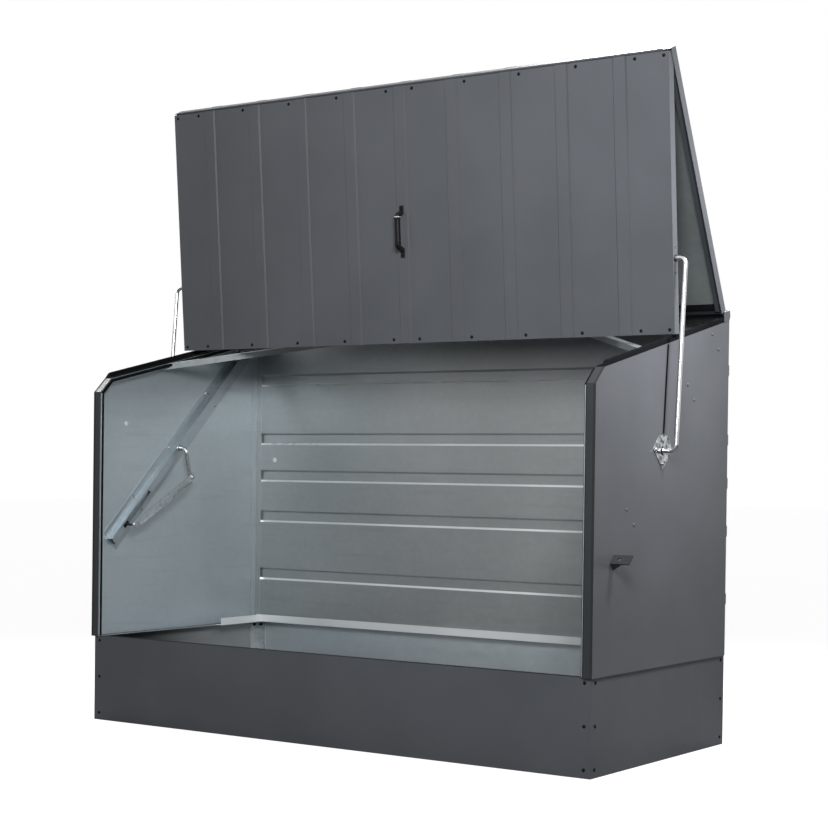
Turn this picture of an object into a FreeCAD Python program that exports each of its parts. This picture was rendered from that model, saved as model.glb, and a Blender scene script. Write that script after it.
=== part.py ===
import FreeCAD, Part
import math
import os
import re

import Sketcher

# Bicycle locker of folded steel sheet: a plinth, two side walls and a back, a roof hinged at the back
# and a door hinged to the roof's front edge. A bent rod on each side carries the door, and a crank at
# the rod's inner end pulls a slider along a channel with a gas strut in it.
# Frame: X across the width, front towards -Y, Z up, origin on the ground in the middle of the plinth.
# Lengths are in millimetres and angles in degrees. The locker stands open.

SIZES = [
    ("sheet_steel", 1.5, "thickness of the folded sheets"),
    ("plinth_width", 1930, "plinth, over its side faces"),
    ("plinth_depth", 840, "plinth, front to back"),
    ("plinth_height", 282, "plinth"),
    ("plinth_flange", 30, "flanges turned inwards at its top and bottom"),
    ("angle_leg", 40, "angles inside the plinth's corners"),
    ("angle_steel", 2, "thickness of angles, posts and rails"),
    ("corner_bolt_inset", 22, "from the plinth's corner to its bolts"),
    ("corner_bolt_low", 24, "height of the lowest bolt"),
    ("corner_bolt_drop", 14, "from the plinth's top to its highest bolt"),
    ("anchor_hole", 11, "holes for ground anchors"),
    ("anchor_inset", 16, "from the plinth's front or back face to the anchors"),
    ("anchor_side_inset", 100, "from the plinth's side face to the anchors"),
    ("wall_width", 1944, "over the outer faces of the side walls"),
    ("wall_front", 430, "front edge of the walls, ahead of the origin"),
    ("wall_rear", 411, "rear edge of the walls, behind the origin"),
    ("wall_front_height", 1104, "top of the walls' upright front edge"),
    ("chamfer_run", 49, "corner cut at the walls' top front"),
    ("chamfer_rise", 48, "corner cut at the walls' top front"),
    ("wall_flange", 30, "flanges round the walls, turned inwards"),
    ("roof_slope", 13.4, "slope of the wall tops and of the closed roof"),
    ("roof_gap", 32.3, "from the wall tops to the roof's outer face"),
    ("hinge_y", 361, "roof hinge axis, behind the origin"),
    ("roof_opening", 77.6, "turn of the roof from closed to open"),
    ("roof_width", 1968, "over the roof's side flanges"),
    ("roof_drop", 42, "depth of the roof's front, down to the door's hinge"),
    ("roof_flange", 29, "depth of the roof's side flanges"),
    ("roof_rear_flange", 26, "depth of the roof's rear flange"),
    ("roof_rail_width", 13, "stiffening rails under the roof's sides"),
    ("roof_rail_depth", 27, "stiffening rails under the roof's sides"),
    ("roof_rail_inset", 6.5, "from the roof's side flange to the rail"),
    ("roof_rail_end", 6, "clearance at the rails' ends"),
    ("door_face", 451, "outer face of the closed door, ahead of the origin"),
    ("door_lean", 4.5, "lean of the open door"),
    ("door_width", 1962, "over the door's side flanges"),
    ("door_length", 836, "from the door's hinge axis to its lower edge"),
    ("door_flange", 30, "depth of the door's side flanges"),
    ("door_lip", 16, "depth of the door's lower lip"),
    ("ridge_pitch", 204, "spacing of the ridges pressed in roof and door"),
    ("ridge_count", 9, "number of ridges"),
    ("ridge_width", 48, "width of a ridge at its foot"),
    ("ridge_top", 40, "width of a ridge's flat top"),
    ("ridge_height", 5, "height of a ridge"),
    ("side_gap", 4, "clearance between the door's inner parts and the walls' flanges"),
    ("barrel_radius", 3.5, "barrel of the door's hinge"),
    ("barrel_gap", 0.8, "clearance round that barrel"),
    ("door_pin_radius", 1.5, "pin of the door's hinge"),
    ("knuckle_pitch", 80, "knuckles of the door's hinge"),
    ("knuckle_pairs", 12, "number of knuckles on each leaf"),
    ("knuckle_gap", 0.5, "gap between two knuckles"),
    ("leaf_width", 24, "leaves of the door's hinge"),
    ("leaf_web_drop", 2.2, "from the hinge axis to the bent edge of the door's leaf"),
    ("pin_play", 0.05, "running clearance of pins and rods, on the radius"),
    ("butt_length", 120, "roof hinges"),
    ("butt_leaf", 27, "width of a roof hinge's leaf"),
    ("butt_steel", 2, "thickness of a roof hinge's leaf"),
    ("butt_radius", 5, "barrel of a roof hinge"),
    ("butt_pin_radius", 2, "pins of the roof hinges"),
    ("butt_end_knuckle", 30, "length of an outer knuckle"),
    ("butt_gap", 1, "clearance between barrel and sheets"),
    ("butt_knuckle_gap", 0.5, "gap between two knuckles"),
    ("butt_inner", 306, "from the middle to the inner roof hinges"),
    ("butt_outer", 714, "from the middle to the outer roof hinges"),
    ("top_rail_reach", 50, "depth of the fixed rail behind the roof"),
    ("top_rail_foot", 34, "foot of that rail"),
    ("top_rail_drip", 20, "drip edge at the back of that rail"),
    ("cap_steel", 2, "end caps of that rail"),
    ("rib_width", 44, "ribs pressed in the back"),
    ("rib_floor", 30, "flat part of a rib"),
    ("rib_depth", 8, "depth of a rib"),
    ("rib_height_1", 460, "height of the ribs' middles"),
    ("rib_height_2", 675, "height of the ribs' middles"),
    ("rib_height_3", 826, "height of the ribs' middles"),
    ("rib_height_4", 963, "height of the ribs' middles"),
    ("rib_height_5", 1182, "height of the ribs' middles"),
    ("post_leg", 25, "angles in the rear corners"),
    ("post_play", 4, "clearance above the posts"),
    ("rail_height", 26, "upstand of the floor rails"),
    ("rail_base", 28, "foot of the side floor rails"),
    ("rail_front", 160, "front end of the side floor rails, behind the origin"),
    ("rail_back_base", 23, "foot of the rear floor rail"),
    ("brace_width", 20, "braces across the rear corners"),
    ("brace_run", 520, "run of a brace along the side and along the back"),
    ("brace_play", 3, "clearance at the braces' ends"),
    ("pivot_y", -29.5, "pivot of the rods, behind the origin"),
    ("arm_below", 611.5, "from the door's hinge to the rods' sockets"),
    ("arm_depth", 15, "from the door's face to the rods' sockets"),
    ("arm_rod", 14, "diameter of the rods"),
    ("arm_standoff", 44, "from the walls' outer face to the rods' axes"),
    ("arm_bend", 19, "bend radius of the rods' axes"),
    ("arm_end", 5, "rod end inside the door's flange"),
    ("crank_length", 105, "crank at the rods' inner end"),
    ("crank_turn", 163, "angle between rod and crank"),
    ("crank_inset", 50, "from the walls' outer face to the crank's axis"),
    ("crank_pin", 8, "diameter of the pins on crank and slider"),
    ("bush_radius", 10, "bushes that carry the rods"),
    ("bush_play", 0.15, "clearance round the bushes"),
    ("bush_flange", 13, "radius of a bush's flange"),
    ("collar_radius", 11, "collars on the rods, inside the walls"),
    ("collar_length", 5, "collars on the rods"),
    ("collar_gap", 0.5, "clearance beside the collars"),
    ("socket_radius", 8, "sockets of the rods in the door"),
    ("socket_flange", 11, "radius of a socket's flange"),
    ("crown_width", 28, "crown of the channels on the walls"),
    ("crown_depth", 22, "height of that crown"),
    ("foot_width", 28, "feet of those channels"),
    ("channel_up", 500, "channel above the pivot"),
    ("channel_down", 457, "channel below the pivot"),
    ("channel_slot", 14, "width of the slot in the crown"),
    ("fixing_high", 487, "fixings of the channel, from the pivot"),
    ("fixing_middle", 255, "fixings of the channel, from the pivot"),
    ("fixing_low", 273, "fixings of the channel, below the pivot"),
    ("fixing_spread", 31.5, "from the channel's middle to its fixings"),
    ("link_length", 330, "links between crank and slider"),
    ("link_width", 22, "width of a link"),
    ("link_steel", 4, "thickness of a link"),
    ("link_inset", 64, "from the walls' outer face to the links' middle"),
    ("slider_length", 30, "sliders"),
    ("slider_play", 0.3, "clearance of the sliders in the channel"),
    ("slider_neck", 12, "slider's neck in the slot"),
    ("strut_radius", 8.5, "tube of the gas struts"),
    ("strut_bore", 4.5, "bore of that tube"),
    ("strut_rod_radius", 4, "rod of the gas struts"),
    ("seat_gap", 0.3, "between the strut's tube and the bush that holds it"),
    ("strut_length", 190, "length of the tube"),
    ("strut_overlap", 15, "rod inside the tube when the locker is open"),
    ("strut_end_wall", 10, "closed end of the tube"),
    ("bracket_steel", 2, "plates round the pivots"),
    ("bracket_half", 58, "half width of such a plate"),
    ("bracket_rise", 46, "plate above the pivot"),
    ("bracket_fall", 56, "plate below the pivot"),
    ("bracket_shoulder", 4, "height of the plate's widest place"),
    ("bracket_top_front", 22, "plate's upper edge, ahead of the pivot"),
    ("bracket_top_rear", 28, "plate's upper edge, behind the pivot"),
    ("bracket_bolt_side", 40, "plate's outer bolts, beside the pivot"),
    ("bracket_bolt_side_rise", 4, "plate's outer bolts, above the pivot"),
    ("bracket_bolt_fall", 38, "plate's lowest bolt, below the pivot"),
    ("lug_distance", 430, "from the pivot to the padlock lug"),
    ("lug_length", 34, "lug, along the closed rod"),
    ("lug_width", 62, "lug, out from the wall"),
    ("lug_steel", 4, "thickness of the lug"),
    ("lug_gap", 0.8, "between the lug and the closed rod"),
    ("lug_eye", 14, "eye for a padlock"),
    ("lug_eye_out", 25, "from the wall to the eye"),
    ("gusset_height", 26, "gusset below the lug"),
    ("gusset_width", 36, "gusset below the lug"),
    ("strip_width", 8, "dark strip on the walls"),
    ("strip_steel", 1.2, "dark strip on the walls"),
    ("strip_start", 52, "from the pivot to the strip"),
    ("strip_margin", 4, "from the strip to the wall's top edge"),
    ("handle_top", 389, "from the door's hinge to the handle's upper end"),
    ("handle_length", 168, "handle, over both feet"),
    ("handle_width", 14, "feet and legs of the handle"),
    ("handle_foot", 4, "thickness of the feet"),
    ("foot_upper", 16, "length of the upper foot"),
    ("foot_lower", 18, "length of the lower foot"),
    ("leg_root", 11, "thickness of a leg at its foot"),
    ("leg_lean", 8, "how far a leg leans towards the grip"),
    ("grip_standoff", 35, "from the ridge's top to the grip's outer face"),
    ("grip_width", 18, "grip"),
    ("grip_depth", 16, "grip"),
    ("grip_radius", 6, "rounding of the grip"),
    ("grip_bend", 12, "bend between leg and grip"),
    ("bolt_radius", 3, "shanks of the bolts"),
    ("bolt_play", 0.3, "clearance of the bolts' holes, on the radius"),
    ("bolt_head_radius", 5.2, "domed heads"),
    ("bolt_head_height", 3.2, "domed heads"),
    ("nut_radius", 5.5, "nuts, over their corners"),
    ("nut_height", 4, "nuts"),
    ("door_bolt_offset", 52, "from a ridge's middle to the bolt beside it"),
    ("door_bolt_edge", 16, "from the door's side to its outer bolts"),
    ("door_bolt_top", 16, "from the door's hinge to its upper bolts"),
    ("door_bolt_bottom", 13, "from the door's lower edge to its lower bolts"),
    ("door_rail_width", 24, "rail inside the door's lower edge"),
    ("slot_start", 5, "slot in the door's side, below the rod"),
    ("slot_length", 75, "slot in the door's side"),
    ("slot_width", 3, "slot in the door's side"),
    ("slot_depth", 3, "from the door's face to that slot"),
    ("flange_play", 0.5, "clearance beside the walls' flanges"),
    ("pin_head_radius", 6.5, "heads of the crank pins"),
    ("pin_head_height", 3, "heads of the crank pins"),
    ("link_leg", 12, "stiffening leg of a link"),
    ("link_leg_end", 22, "from a link's pivots to that leg's ends"),
    ("link_boss_radius", 7, "bolt head at a link's lower end"),
    ("link_boss_height", 4, "bolt head at a link's lower end"),
]

DERIVED = [
    ("plinth_half", "plinth_width / 2"),
    ("plinth_reach", "plinth_depth / 2"),
    ("wall_half", "wall_width / 2"),
    ("wall_inner", "wall_half - sheet_steel"),
    ("chamfer_y", "chamfer_run - wall_front"),
    ("chamfer_z", "wall_front_height + chamfer_rise"),
    ("wall_rear_z", "chamfer_z + (wall_rear - chamfer_y) * tan(roof_slope)"),
    ("hinge_z", "chamfer_z + (hinge_y - chamfer_y) * tan(roof_slope) + roof_gap / cos(roof_slope)"),
    ("roof_length", "(hinge_y + door_face + roof_drop * sin(roof_slope)) / cos(roof_slope)"),
    ("roof_half", "roof_width / 2"),
    ("roof_turn", "roof_slope - roof_opening"),
    ("roof_edge", "butt_radius + butt_gap"),
    ("fascia_drop", "roof_drop - barrel_radius - barrel_gap"),
    ("rail_outer", "roof_half - sheet_steel - roof_rail_inset"),
    ("door_half", "door_width / 2"),
    ("door_top", "barrel_radius + barrel_gap"),
    ("door_turn", "90 + door_lean"),
    ("door_axis_y", "hinge_y - roof_length * cos(roof_turn) + roof_drop * sin(roof_turn)"),
    ("door_axis_z", "hinge_z - roof_length * sin(roof_turn) - roof_drop * cos(roof_turn)"),
    ("door_closed_z", "hinge_z - roof_length * sin(roof_slope) - roof_drop * cos(roof_slope)"),
    ("lip_half", "wall_half - wall_flange - side_gap"),
    ("ridge_hollow", "ridge_height - sheet_steel"),
    ("arm_open_y", "door_axis_y - arm_below * cos(door_turn) + arm_depth * sin(door_turn)"),
    ("arm_open_z", "door_axis_z - arm_below * sin(door_turn) - arm_depth * cos(door_turn)"),
    ("arm_shut_y", "arm_depth - door_face"),
    ("arm_shut_z", "door_closed_z - arm_below"),
    ("shut_square", "arm_shut_y * arm_shut_y + arm_shut_z * arm_shut_z"),
    ("open_square", "arm_open_y * arm_open_y + arm_open_z * arm_open_z"),
    ("pivot_z", "(shut_square - open_square - 2 * pivot_y * (arm_shut_y - arm_open_y))"
     " / (2 * (arm_shut_z - arm_open_z))"),
    ("arm_reach", "sqrt((arm_shut_y - pivot_y) ^ 2 + (arm_shut_z - pivot_z) ^ 2)"),
    ("arm_turn", "90 - atan((arm_open_y - pivot_y) / (arm_open_z - pivot_z)) / 1 deg"),
    ("arm_shut_turn", "180 + atan((arm_shut_z - pivot_z) / (arm_shut_y - pivot_y)) / 1 deg"),
    ("channel_angle", "arm_shut_turn - 180"),
    ("channel_turn", "channel_angle - 90"),
    ("arm_radius", "arm_rod / 2"),
    ("arm_plane", "wall_half + arm_standoff"),
    ("crank_plane", "wall_half - crank_inset"),
    ("crank_turn_open", "arm_turn - crank_turn"),
    ("crank_y", "pivot_y + crank_length * cos(crank_turn_open)"),
    ("crank_z", "pivot_z + crank_length * sin(crank_turn_open)"),
    ("crank_along", "crank_length * cos(crank_turn_open - channel_angle)"),
    ("crank_aside", "crank_length * sin(crank_turn_open - channel_angle)"),
    ("slider_down", "sqrt(link_length ^ 2 - crank_aside ^ 2) - crank_along"),
    ("crank_turn_shut", "arm_shut_turn - crank_turn"),
    ("shut_along", "crank_length * cos(crank_turn_shut - channel_angle)"),
    ("shut_aside", "crank_length * sin(crank_turn_shut - channel_angle)"),
    ("slider_down_shut", "sqrt(link_length ^ 2 - shut_aside ^ 2) - shut_along"),
    ("slider_y", "pivot_y - slider_down * cos(channel_angle)"),
    ("slider_z", "pivot_z - slider_down * sin(channel_angle)"),
    ("link_turn", "180 + atan((slider_z - crank_z) / (slider_y - crank_y)) / 1 deg"),
    ("link_plane", "wall_half - link_inset"),
    ("pin_radius", "crank_pin / 2"),
    ("crown_inner", "wall_inner - crown_depth"),
    ("bush_inner", "crown_inner - angle_steel"),
    ("back_inner", "wall_rear - sheet_steel"),
    ("back_top", "wall_rear_z - sheet_steel * tan(roof_slope) - sheet_steel / cos(roof_slope)"),
    ("inner_edge", "wall_half - wall_flange - flange_play"),
    ("hole_radius", "bolt_radius + bolt_play"),
    ("knuckle_start", "knuckle_pairs * knuckle_pitch"),
    ("strut_end", "bush_radius + seat_gap + strut_length"),
    ("strip_end", "(chamfer_z + (pivot_y - chamfer_y) * tan(roof_slope) - pivot_z)"
     " / (sin(arm_turn) - cos(arm_turn) * tan(roof_slope)) - strip_margin"),
]

SIDES = (("left", -1), ("right", 1))

doc = FreeCAD.newDocument("BicycleLocker")
sizes = doc.addObject("Spreadsheet::Sheet", "Sizes")
row = 0
for alias, value, note in SIZES:
    row += 1
    sizes.set("A%d" % row, note)
    sizes.set("B%d" % row, str(value))
    sizes.setAlias("B%d" % row, alias)
for alias, formula in DERIVED:
    row += 1
    sizes.set("B%d" % row, "=" + formula)
    sizes.setAlias("B%d" % row, alias)
doc.recompute()

ALIASES = {entry[0] for entry in SIZES} | {entry[0] for entry in DERIVED}
CUTS = []


def tie(formula):
    """Formula with each size named through the sheet."""
    return re.sub(r"[a-z][a-z_0-9]*", lambda word: "Sizes." + word.group(0) if word.group(0) in ALIASES
                  else word.group(0), formula)


def number(formula):
    """Value of a formula over the sheet."""
    return float(sizes.evalExpression(tie(formula)))


def spot(x, y, z=0.0):
    return FreeCAD.Vector(x, y, z)


FRAMES = {
    "slope": ("hinge_y", "hinge_z", "roof_slope"),
    "roof": ("hinge_y", "hinge_z", "roof_turn"),
    "door": ("door_axis_y", "door_axis_z", "door_turn"),
    "arm": ("pivot_y", "pivot_z", "arm_turn"),
    "channel": ("pivot_y", "pivot_z", "channel_turn"),
    "link": ("crank_y", "crank_z", "link_turn"),
}


def place(piece, frame):
    """Put a piece in one of the frames, each turned about X."""
    if frame is None:
        return
    y, z, turn = FRAMES[frame]
    piece.Placement = FreeCAD.Placement(spot(0, 1, 1), FreeCAD.Rotation(spot(1, 0, 0), 10))
    piece.setExpression("Placement.Base.y", tie(y))
    piece.setExpression("Placement.Base.z", tie(z))
    piece.setExpression("Placement.Rotation.Angle", tie(turn))


def new_body(label, frame=None):
    body = doc.addObject("PartDesign::Body", label)
    body.Label = label
    place(body, frame)
    return body


def new_sketch(body, name, role, offset):
    """Sketch on an origin plane of its body, moved along the plane's normal by a formula."""
    sketch = body.newObject("Sketcher::SketchObject", name)
    for feature in body.Origin.OriginFeatures:
        if feature.Role == role:
            sketch.AttachmentSupport = [(feature, "")]
    sketch.MapMode = "FlatFace"
    if offset != "0":
        sketch.setExpression("AttachmentOffset.Base.z", tie(offset))
    return sketch


def hold_point(sketch, line, end, x, y):
    """Tie one point of a sketch to two formulas."""
    for kind, axis, formula in (("DistanceX", -2, x), ("DistanceY", -1, y)):
        if formula == "0":
            sketch.addConstraint(Sketcher.Constraint("PointOnObject", line, end, axis))
        else:
            index = sketch.addConstraint(Sketcher.Constraint(kind, -1, 1, line, end, number(formula)))
            sketch.setExpression("Constraints[%d]" % index, tie(formula))


def outline(body, name, role, points, offset="0"):
    """Closed polygon whose corners are pairs of formulas."""
    sketch = new_sketch(body, name, role, offset)
    spots = [spot(number(x), number(y)) for x, y in points]
    count = len(points)
    for i in range(count):
        sketch.addGeometry(Part.LineSegment(spots[i], spots[(i + 1) % count]), False)
    for i in range(count):
        sketch.addConstraint(Sketcher.Constraint("Coincident", i, 2, (i + 1) % count, 1))
    for i, (x, y) in enumerate(points):
        hold_point(sketch, i, 1, x, y)
    return sketch


def circles(body, name, role, centres, radius, offset="0"):
    """Circles of one radius, their centres given as pairs of formulas."""
    sketch = new_sketch(body, name, role, offset)
    for i, (x, y) in enumerate(centres):
        sketch.addGeometry(Part.Circle(spot(number(x), number(y)), spot(0, 0, 1), number(radius)), False)
        hold_point(sketch, i, 3, x, y)
        index = sketch.addConstraint(Sketcher.Constraint("Radius", i, number(radius)))
        sketch.setExpression("Constraints[%d]" % index, tie(radius))
    return sketch


def pad(body, name, sketch, length, middle=False):
    feature = body.newObject("PartDesign::Pad", name)
    feature.Profile = sketch
    feature.Midplane = middle
    feature.setExpression("Length", tie(length))
    return feature


def cut(body, name, sketch, length=None, reverse=False):
    """Pocket of a given length, or through all both ways without one."""
    before = body.Tip
    feature = body.newObject("PartDesign::Pocket", name)
    feature.Profile = sketch
    if length is None:
        feature.Type = "ThroughAll"
        feature.Midplane = True
    else:
        feature.Reversed = reverse
        feature.setExpression("Length", tie(length))
    CUTS.append((feature, before))
    return feature


def box_points(x0, x1, y0, y1):
    return [(x0, y0), (x1, y0), (x1, y1), (x0, y1)]


def away(sign, formula):
    """The formula on one side of the middle plane."""
    return formula if sign > 0 else "-(%s)" % formula


def start_of(sign, near, length):
    """Where a pad along X starts, so that it runs outwards from a distance on either side."""
    return near if sign > 0 else "-(%s) - (%s)" % (near, length)


def keep_shape(label, shape, frame=None):
    """Sub-part whose shape is made in code."""
    piece = doc.addObject("Part::Feature", label)
    piece.Label = label
    piece.Shape = shape
    place(piece, frame)
    return piece


def plinth_panel(label, role, sign, face, half, flange_half):
    """Folded panel: a web with a flange at its top and bottom, both turned inwards."""
    body = new_body(label)
    back = "%s - sheet_steel" % face
    edge = "%s - plinth_flange" % face
    web = outline(body, "Web", role, box_points(away(sign, face), away(sign, back), "0", "plinth_height"))
    pad(body, "WebPad", web, "2 * (%s)" % half, middle=True)
    low = outline(body, "LowFlange", role, box_points(away(sign, back), away(sign, edge), "0", "sheet_steel"))
    pad(body, "LowFlangePad", low, "2 * (%s)" % flange_half, middle=True)
    high = outline(body, "HighFlange", role, box_points(away(sign, back), away(sign, edge),
                   "plinth_height - sheet_steel", "plinth_height"))
    pad(body, "HighFlangePad", high, "2 * (%s)" % flange_half, middle=True)
    return body


BOLT_HEIGHTS = ("corner_bolt_low", "(corner_bolt_low + plinth_height - corner_bolt_drop) / 2",
                "plinth_height - corner_bolt_drop")


def plinth():
    """Four panels that carry the locker, with the anchor holes under front and back."""
    for name, sign in (("front", -1), ("back", 1)):
        body = plinth_panel("plinth_" + name, "YZ_Plane", sign, "plinth_reach", "plinth_half",
                            "plinth_half - sheet_steel")
        centres = [(away(side, "plinth_half - corner_bolt_inset"), z)
                   for side in (-1, 1) for z in BOLT_HEIGHTS]
        cut(body, "BoltHolesCut", circles(body, "BoltHoles", "XZ_Plane", centres, "hole_radius"))
        anchors = [(away(side, "plinth_half - anchor_side_inset"), away(sign, "plinth_reach - anchor_inset"))
                   for side in (-1, 1)]
        holes = circles(body, "AnchorHoles", "XY_Plane", anchors, "anchor_hole / 2")
        cut(body, "AnchorHolesCut", holes, "2 * sheet_steel", reverse=True)
    for name, sign in SIDES:
        body = plinth_panel("plinth_" + name, "XZ_Plane", sign, "plinth_half",
                            "plinth_reach - sheet_steel", "plinth_reach - plinth_flange")
        centres = [(away(side, "plinth_reach - corner_bolt_inset"), z)
                   for side in (-1, 1) for z in BOLT_HEIGHTS]
        cut(body, "BoltHolesCut", circles(body, "BoltHoles", "YZ_Plane", centres, "hole_radius"))


def solid_box(x0, x1, y0, y1, z0, z1):
    """Box between two corners, given in any order."""
    low = spot(min(x0, x1), min(y0, y1), min(z0, z1))
    return Part.makeBox(abs(x1 - x0), abs(y1 - y0), abs(z1 - z0), low)


def cylinder(radius, start, end):
    """Cylinder between two points."""
    run = end - start
    return Part.makeCylinder(radius, run.Length, start, run)


def dome(centre, outward, radius, height):
    """Domed head that sits on a face: a thin disc under a cap cut from a sphere."""
    rim = 0.3 * height
    rise = height - rim
    ball = (radius ** 2 + rise ** 2) / (2 * rise)
    sphere = Part.makeSphere(ball, spot(0, 0, height - ball))
    cap = sphere.common(Part.makeCylinder(radius, height, spot(0, 0, rim)))
    head = Part.makeCylinder(radius, rim).fuse(cap)
    head.Placement = FreeCAD.Placement(centre, FreeCAD.Rotation(spot(0, 0, 1), outward))
    return head


def bolt(centre, outward, grip, nut=True):
    """Bolt with a domed head on a face, through a grip, with a nut behind it."""
    head = dome(centre, outward, number("bolt_head_radius"), number("bolt_head_height"))
    depth = grip + number("nut_height") if nut else grip
    parts = [cylinder(number("bolt_radius"), centre, centre - outward * depth)]
    if nut:
        corners = [spot(math.cos(math.radians(60 * i)), math.sin(math.radians(60 * i))) * number("nut_radius")
                   for i in range(7)]
        hexagon = Part.Face(Part.makePolygon(corners)).extrude(spot(0, 0, number("nut_height")))
        hexagon.Placement = FreeCAD.Placement(centre - outward * depth,
                                              FreeCAD.Rotation(spot(0, 0, 1), outward))
        parts.append(hexagon)
    return head.fuse(parts).removeSplitter()


def corner_bolt_places():
    """Centre and outward direction of each bolt in the plinth's corners."""
    inset = number("corner_bolt_inset")
    half, reach = number("plinth_half"), number("plinth_reach")
    for formula in BOLT_HEIGHTS:
        z = number(formula)
        for side in (-1, 1):
            for end in (-1, 1):
                yield spot(side * (half - inset), end * reach, z), spot(0, end, 0)
                yield spot(side * half, end * (reach - inset), z), spot(side, 0, 0)


def plinth_corners():
    """Angles inside the corners, and the bolts that hold the panels to them."""
    sheet, leg, steel = number("sheet_steel"), number("angle_leg"), number("angle_steel")
    half, reach = number("plinth_half") - sheet, number("plinth_reach") - sheet
    top = number("plinth_height") - sheet
    places = list(corner_bolt_places())
    drills = [cylinder(number("hole_radius"), p - d * 20, p + d * 5) for p, d in places]
    angles = []
    for side in (-1, 1):
        for end in (-1, 1):
            x, y = side * half, end * reach
            front = solid_box(x, side * (half - leg), y, end * (reach - steel), sheet, top)
            flank = solid_box(x, side * (half - steel), y, end * (reach - leg), sheet, top)
            angle = front.fuse(flank).removeSplitter()
            near = [drill for drill in drills if drill.BoundBox.intersect(angle.BoundBox)]
            angles.append(angle.cut(near))
    keep_shape("plinth_corner_angles", Part.makeCompound(angles))
    keep_shape("plinth_bolts", Part.makeCompound([bolt(p, d, sheet + steel) for p, d in places]))


def channel_spot(along, aside):
    """Point of the wall's plane, from the pivot along the channel and aside, as two formulas."""
    return ("pivot_y + (%s) * cos(channel_angle) - (%s) * sin(channel_angle)" % (along, aside),
            "pivot_z + (%s) * sin(channel_angle) + (%s) * cos(channel_angle)" % (along, aside))


FIXINGS = [(along, aside) for along in ("fixing_high", "fixing_middle", "-fixing_low")
           for aside in ("-fixing_spread", "fixing_spread")]
BRACKET_BOLTS = [("-bracket_bolt_side", "bracket_bolt_side_rise"),
                 ("bracket_bolt_side", "bracket_bolt_side_rise"), ("0", "-bracket_bolt_fall")]


def bracket_centres():
    return [("pivot_y + (%s)" % y, "pivot_z + (%s)" % z) for y, z in BRACKET_BOLTS]


def side_wall(name, sign):
    """Shallow tray with flanges round the front, the chamfer, the sloping top and the bottom."""
    body = new_body("side_wall_" + name)
    profile = [("-wall_front", "plinth_height"), ("-wall_front", "wall_front_height"),
               ("chamfer_y", "chamfer_z"), ("wall_rear", "wall_rear_z"), ("wall_rear", "plinth_height")]
    start = start_of(sign, "wall_half - wall_flange", "wall_flange")
    block = pad(body, "Block", outline(body, "Profile", "YZ_Plane", profile, start), "wall_flange")
    doc.recompute()
    openings = []
    for index, face in enumerate(block.Shape.Faces):
        normal = face.normalAt(0, 0)
        if normal.x * sign < -0.9 or normal.y > 0.9:
            openings.append("Face%d" % (index + 1))
    shell = body.newObject("PartDesign::Thickness", "Shell")
    shell.Base = (block, openings)
    shell.Mode = 0
    shell.Join = 1
    shell.Reversed = True
    shell.setExpression("Value", tie("sheet_steel"))
    cut(body, "BushHoleCut", circles(body, "BushHole", "YZ_Plane", [("pivot_y", "pivot_z")],
                                     "bush_radius + bush_play"))
    centres = [channel_spot(along, aside) for along, aside in FIXINGS] + bracket_centres()
    cut(body, "BoltHolesCut", circles(body, "BoltHoles", "YZ_Plane", centres, "hole_radius"))


def back_panel():
    """Back with five pressed ribs, a top flange that follows the slope, and a foot between the walls."""
    body = new_body("back_panel")
    heights = ["rib_height_%d" % (i + 1) for i in range(5)]
    outer = []
    for middle in heights:
        outer += [("0", "%s - rib_width / 2" % middle), ("rib_depth", "%s - rib_floor / 2" % middle),
                  ("rib_depth", "%s + rib_floor / 2" % middle), ("0", "%s + rib_width / 2" % middle)]
    outer = [("0", "plinth_height + sheet_steel")] + outer + [("0", "back_top")]
    points = [("wall_rear + " + y, z) for y, z in outer]
    points += [("back_inner + " + y, z) for y, z in reversed(outer)]
    pad(body, "WebPad", outline(body, "Web", "YZ_Plane", points), "2 * wall_inner", middle=True)
    slope = "wall_rear_z - wall_flange * tan(roof_slope)"
    flange = [("back_inner", "back_top"), ("wall_rear", "back_top"), ("wall_rear", "wall_rear_z"),
              ("wall_rear - wall_flange", slope),
              ("wall_rear - wall_flange", slope + " - sheet_steel / cos(roof_slope)")]
    pad(body, "FlangePad", outline(body, "Flange", "YZ_Plane", flange), "2 * inner_edge", middle=True)
    foot = box_points("back_inner", "wall_rear", "plinth_height", "plinth_height + sheet_steel")
    pad(body, "FootPad", outline(body, "Foot", "YZ_Plane", foot), "2 * inner_edge", middle=True)


def corner_post(name, sign):
    """Angle in a rear corner, from the wall's lower flange to just under its upper one."""
    body = new_body("corner_post_" + name)
    section = [("wall_inner", "back_inner"), ("wall_inner - post_leg", "back_inner"),
               ("wall_inner - post_leg", "back_inner - angle_steel"),
               ("wall_inner - angle_steel", "back_inner - angle_steel"),
               ("wall_inner - angle_steel", "back_inner - post_leg"),
               ("wall_inner", "back_inner - post_leg")]
    section = [(away(sign, x), y) for x, y in section]
    sketch = outline(body, "Section", "XY_Plane", section, "plinth_height + sheet_steel")
    pad(body, "Post", sketch,
        "back_top - post_leg * tan(roof_slope) - post_play - plinth_height - sheet_steel")


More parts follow.
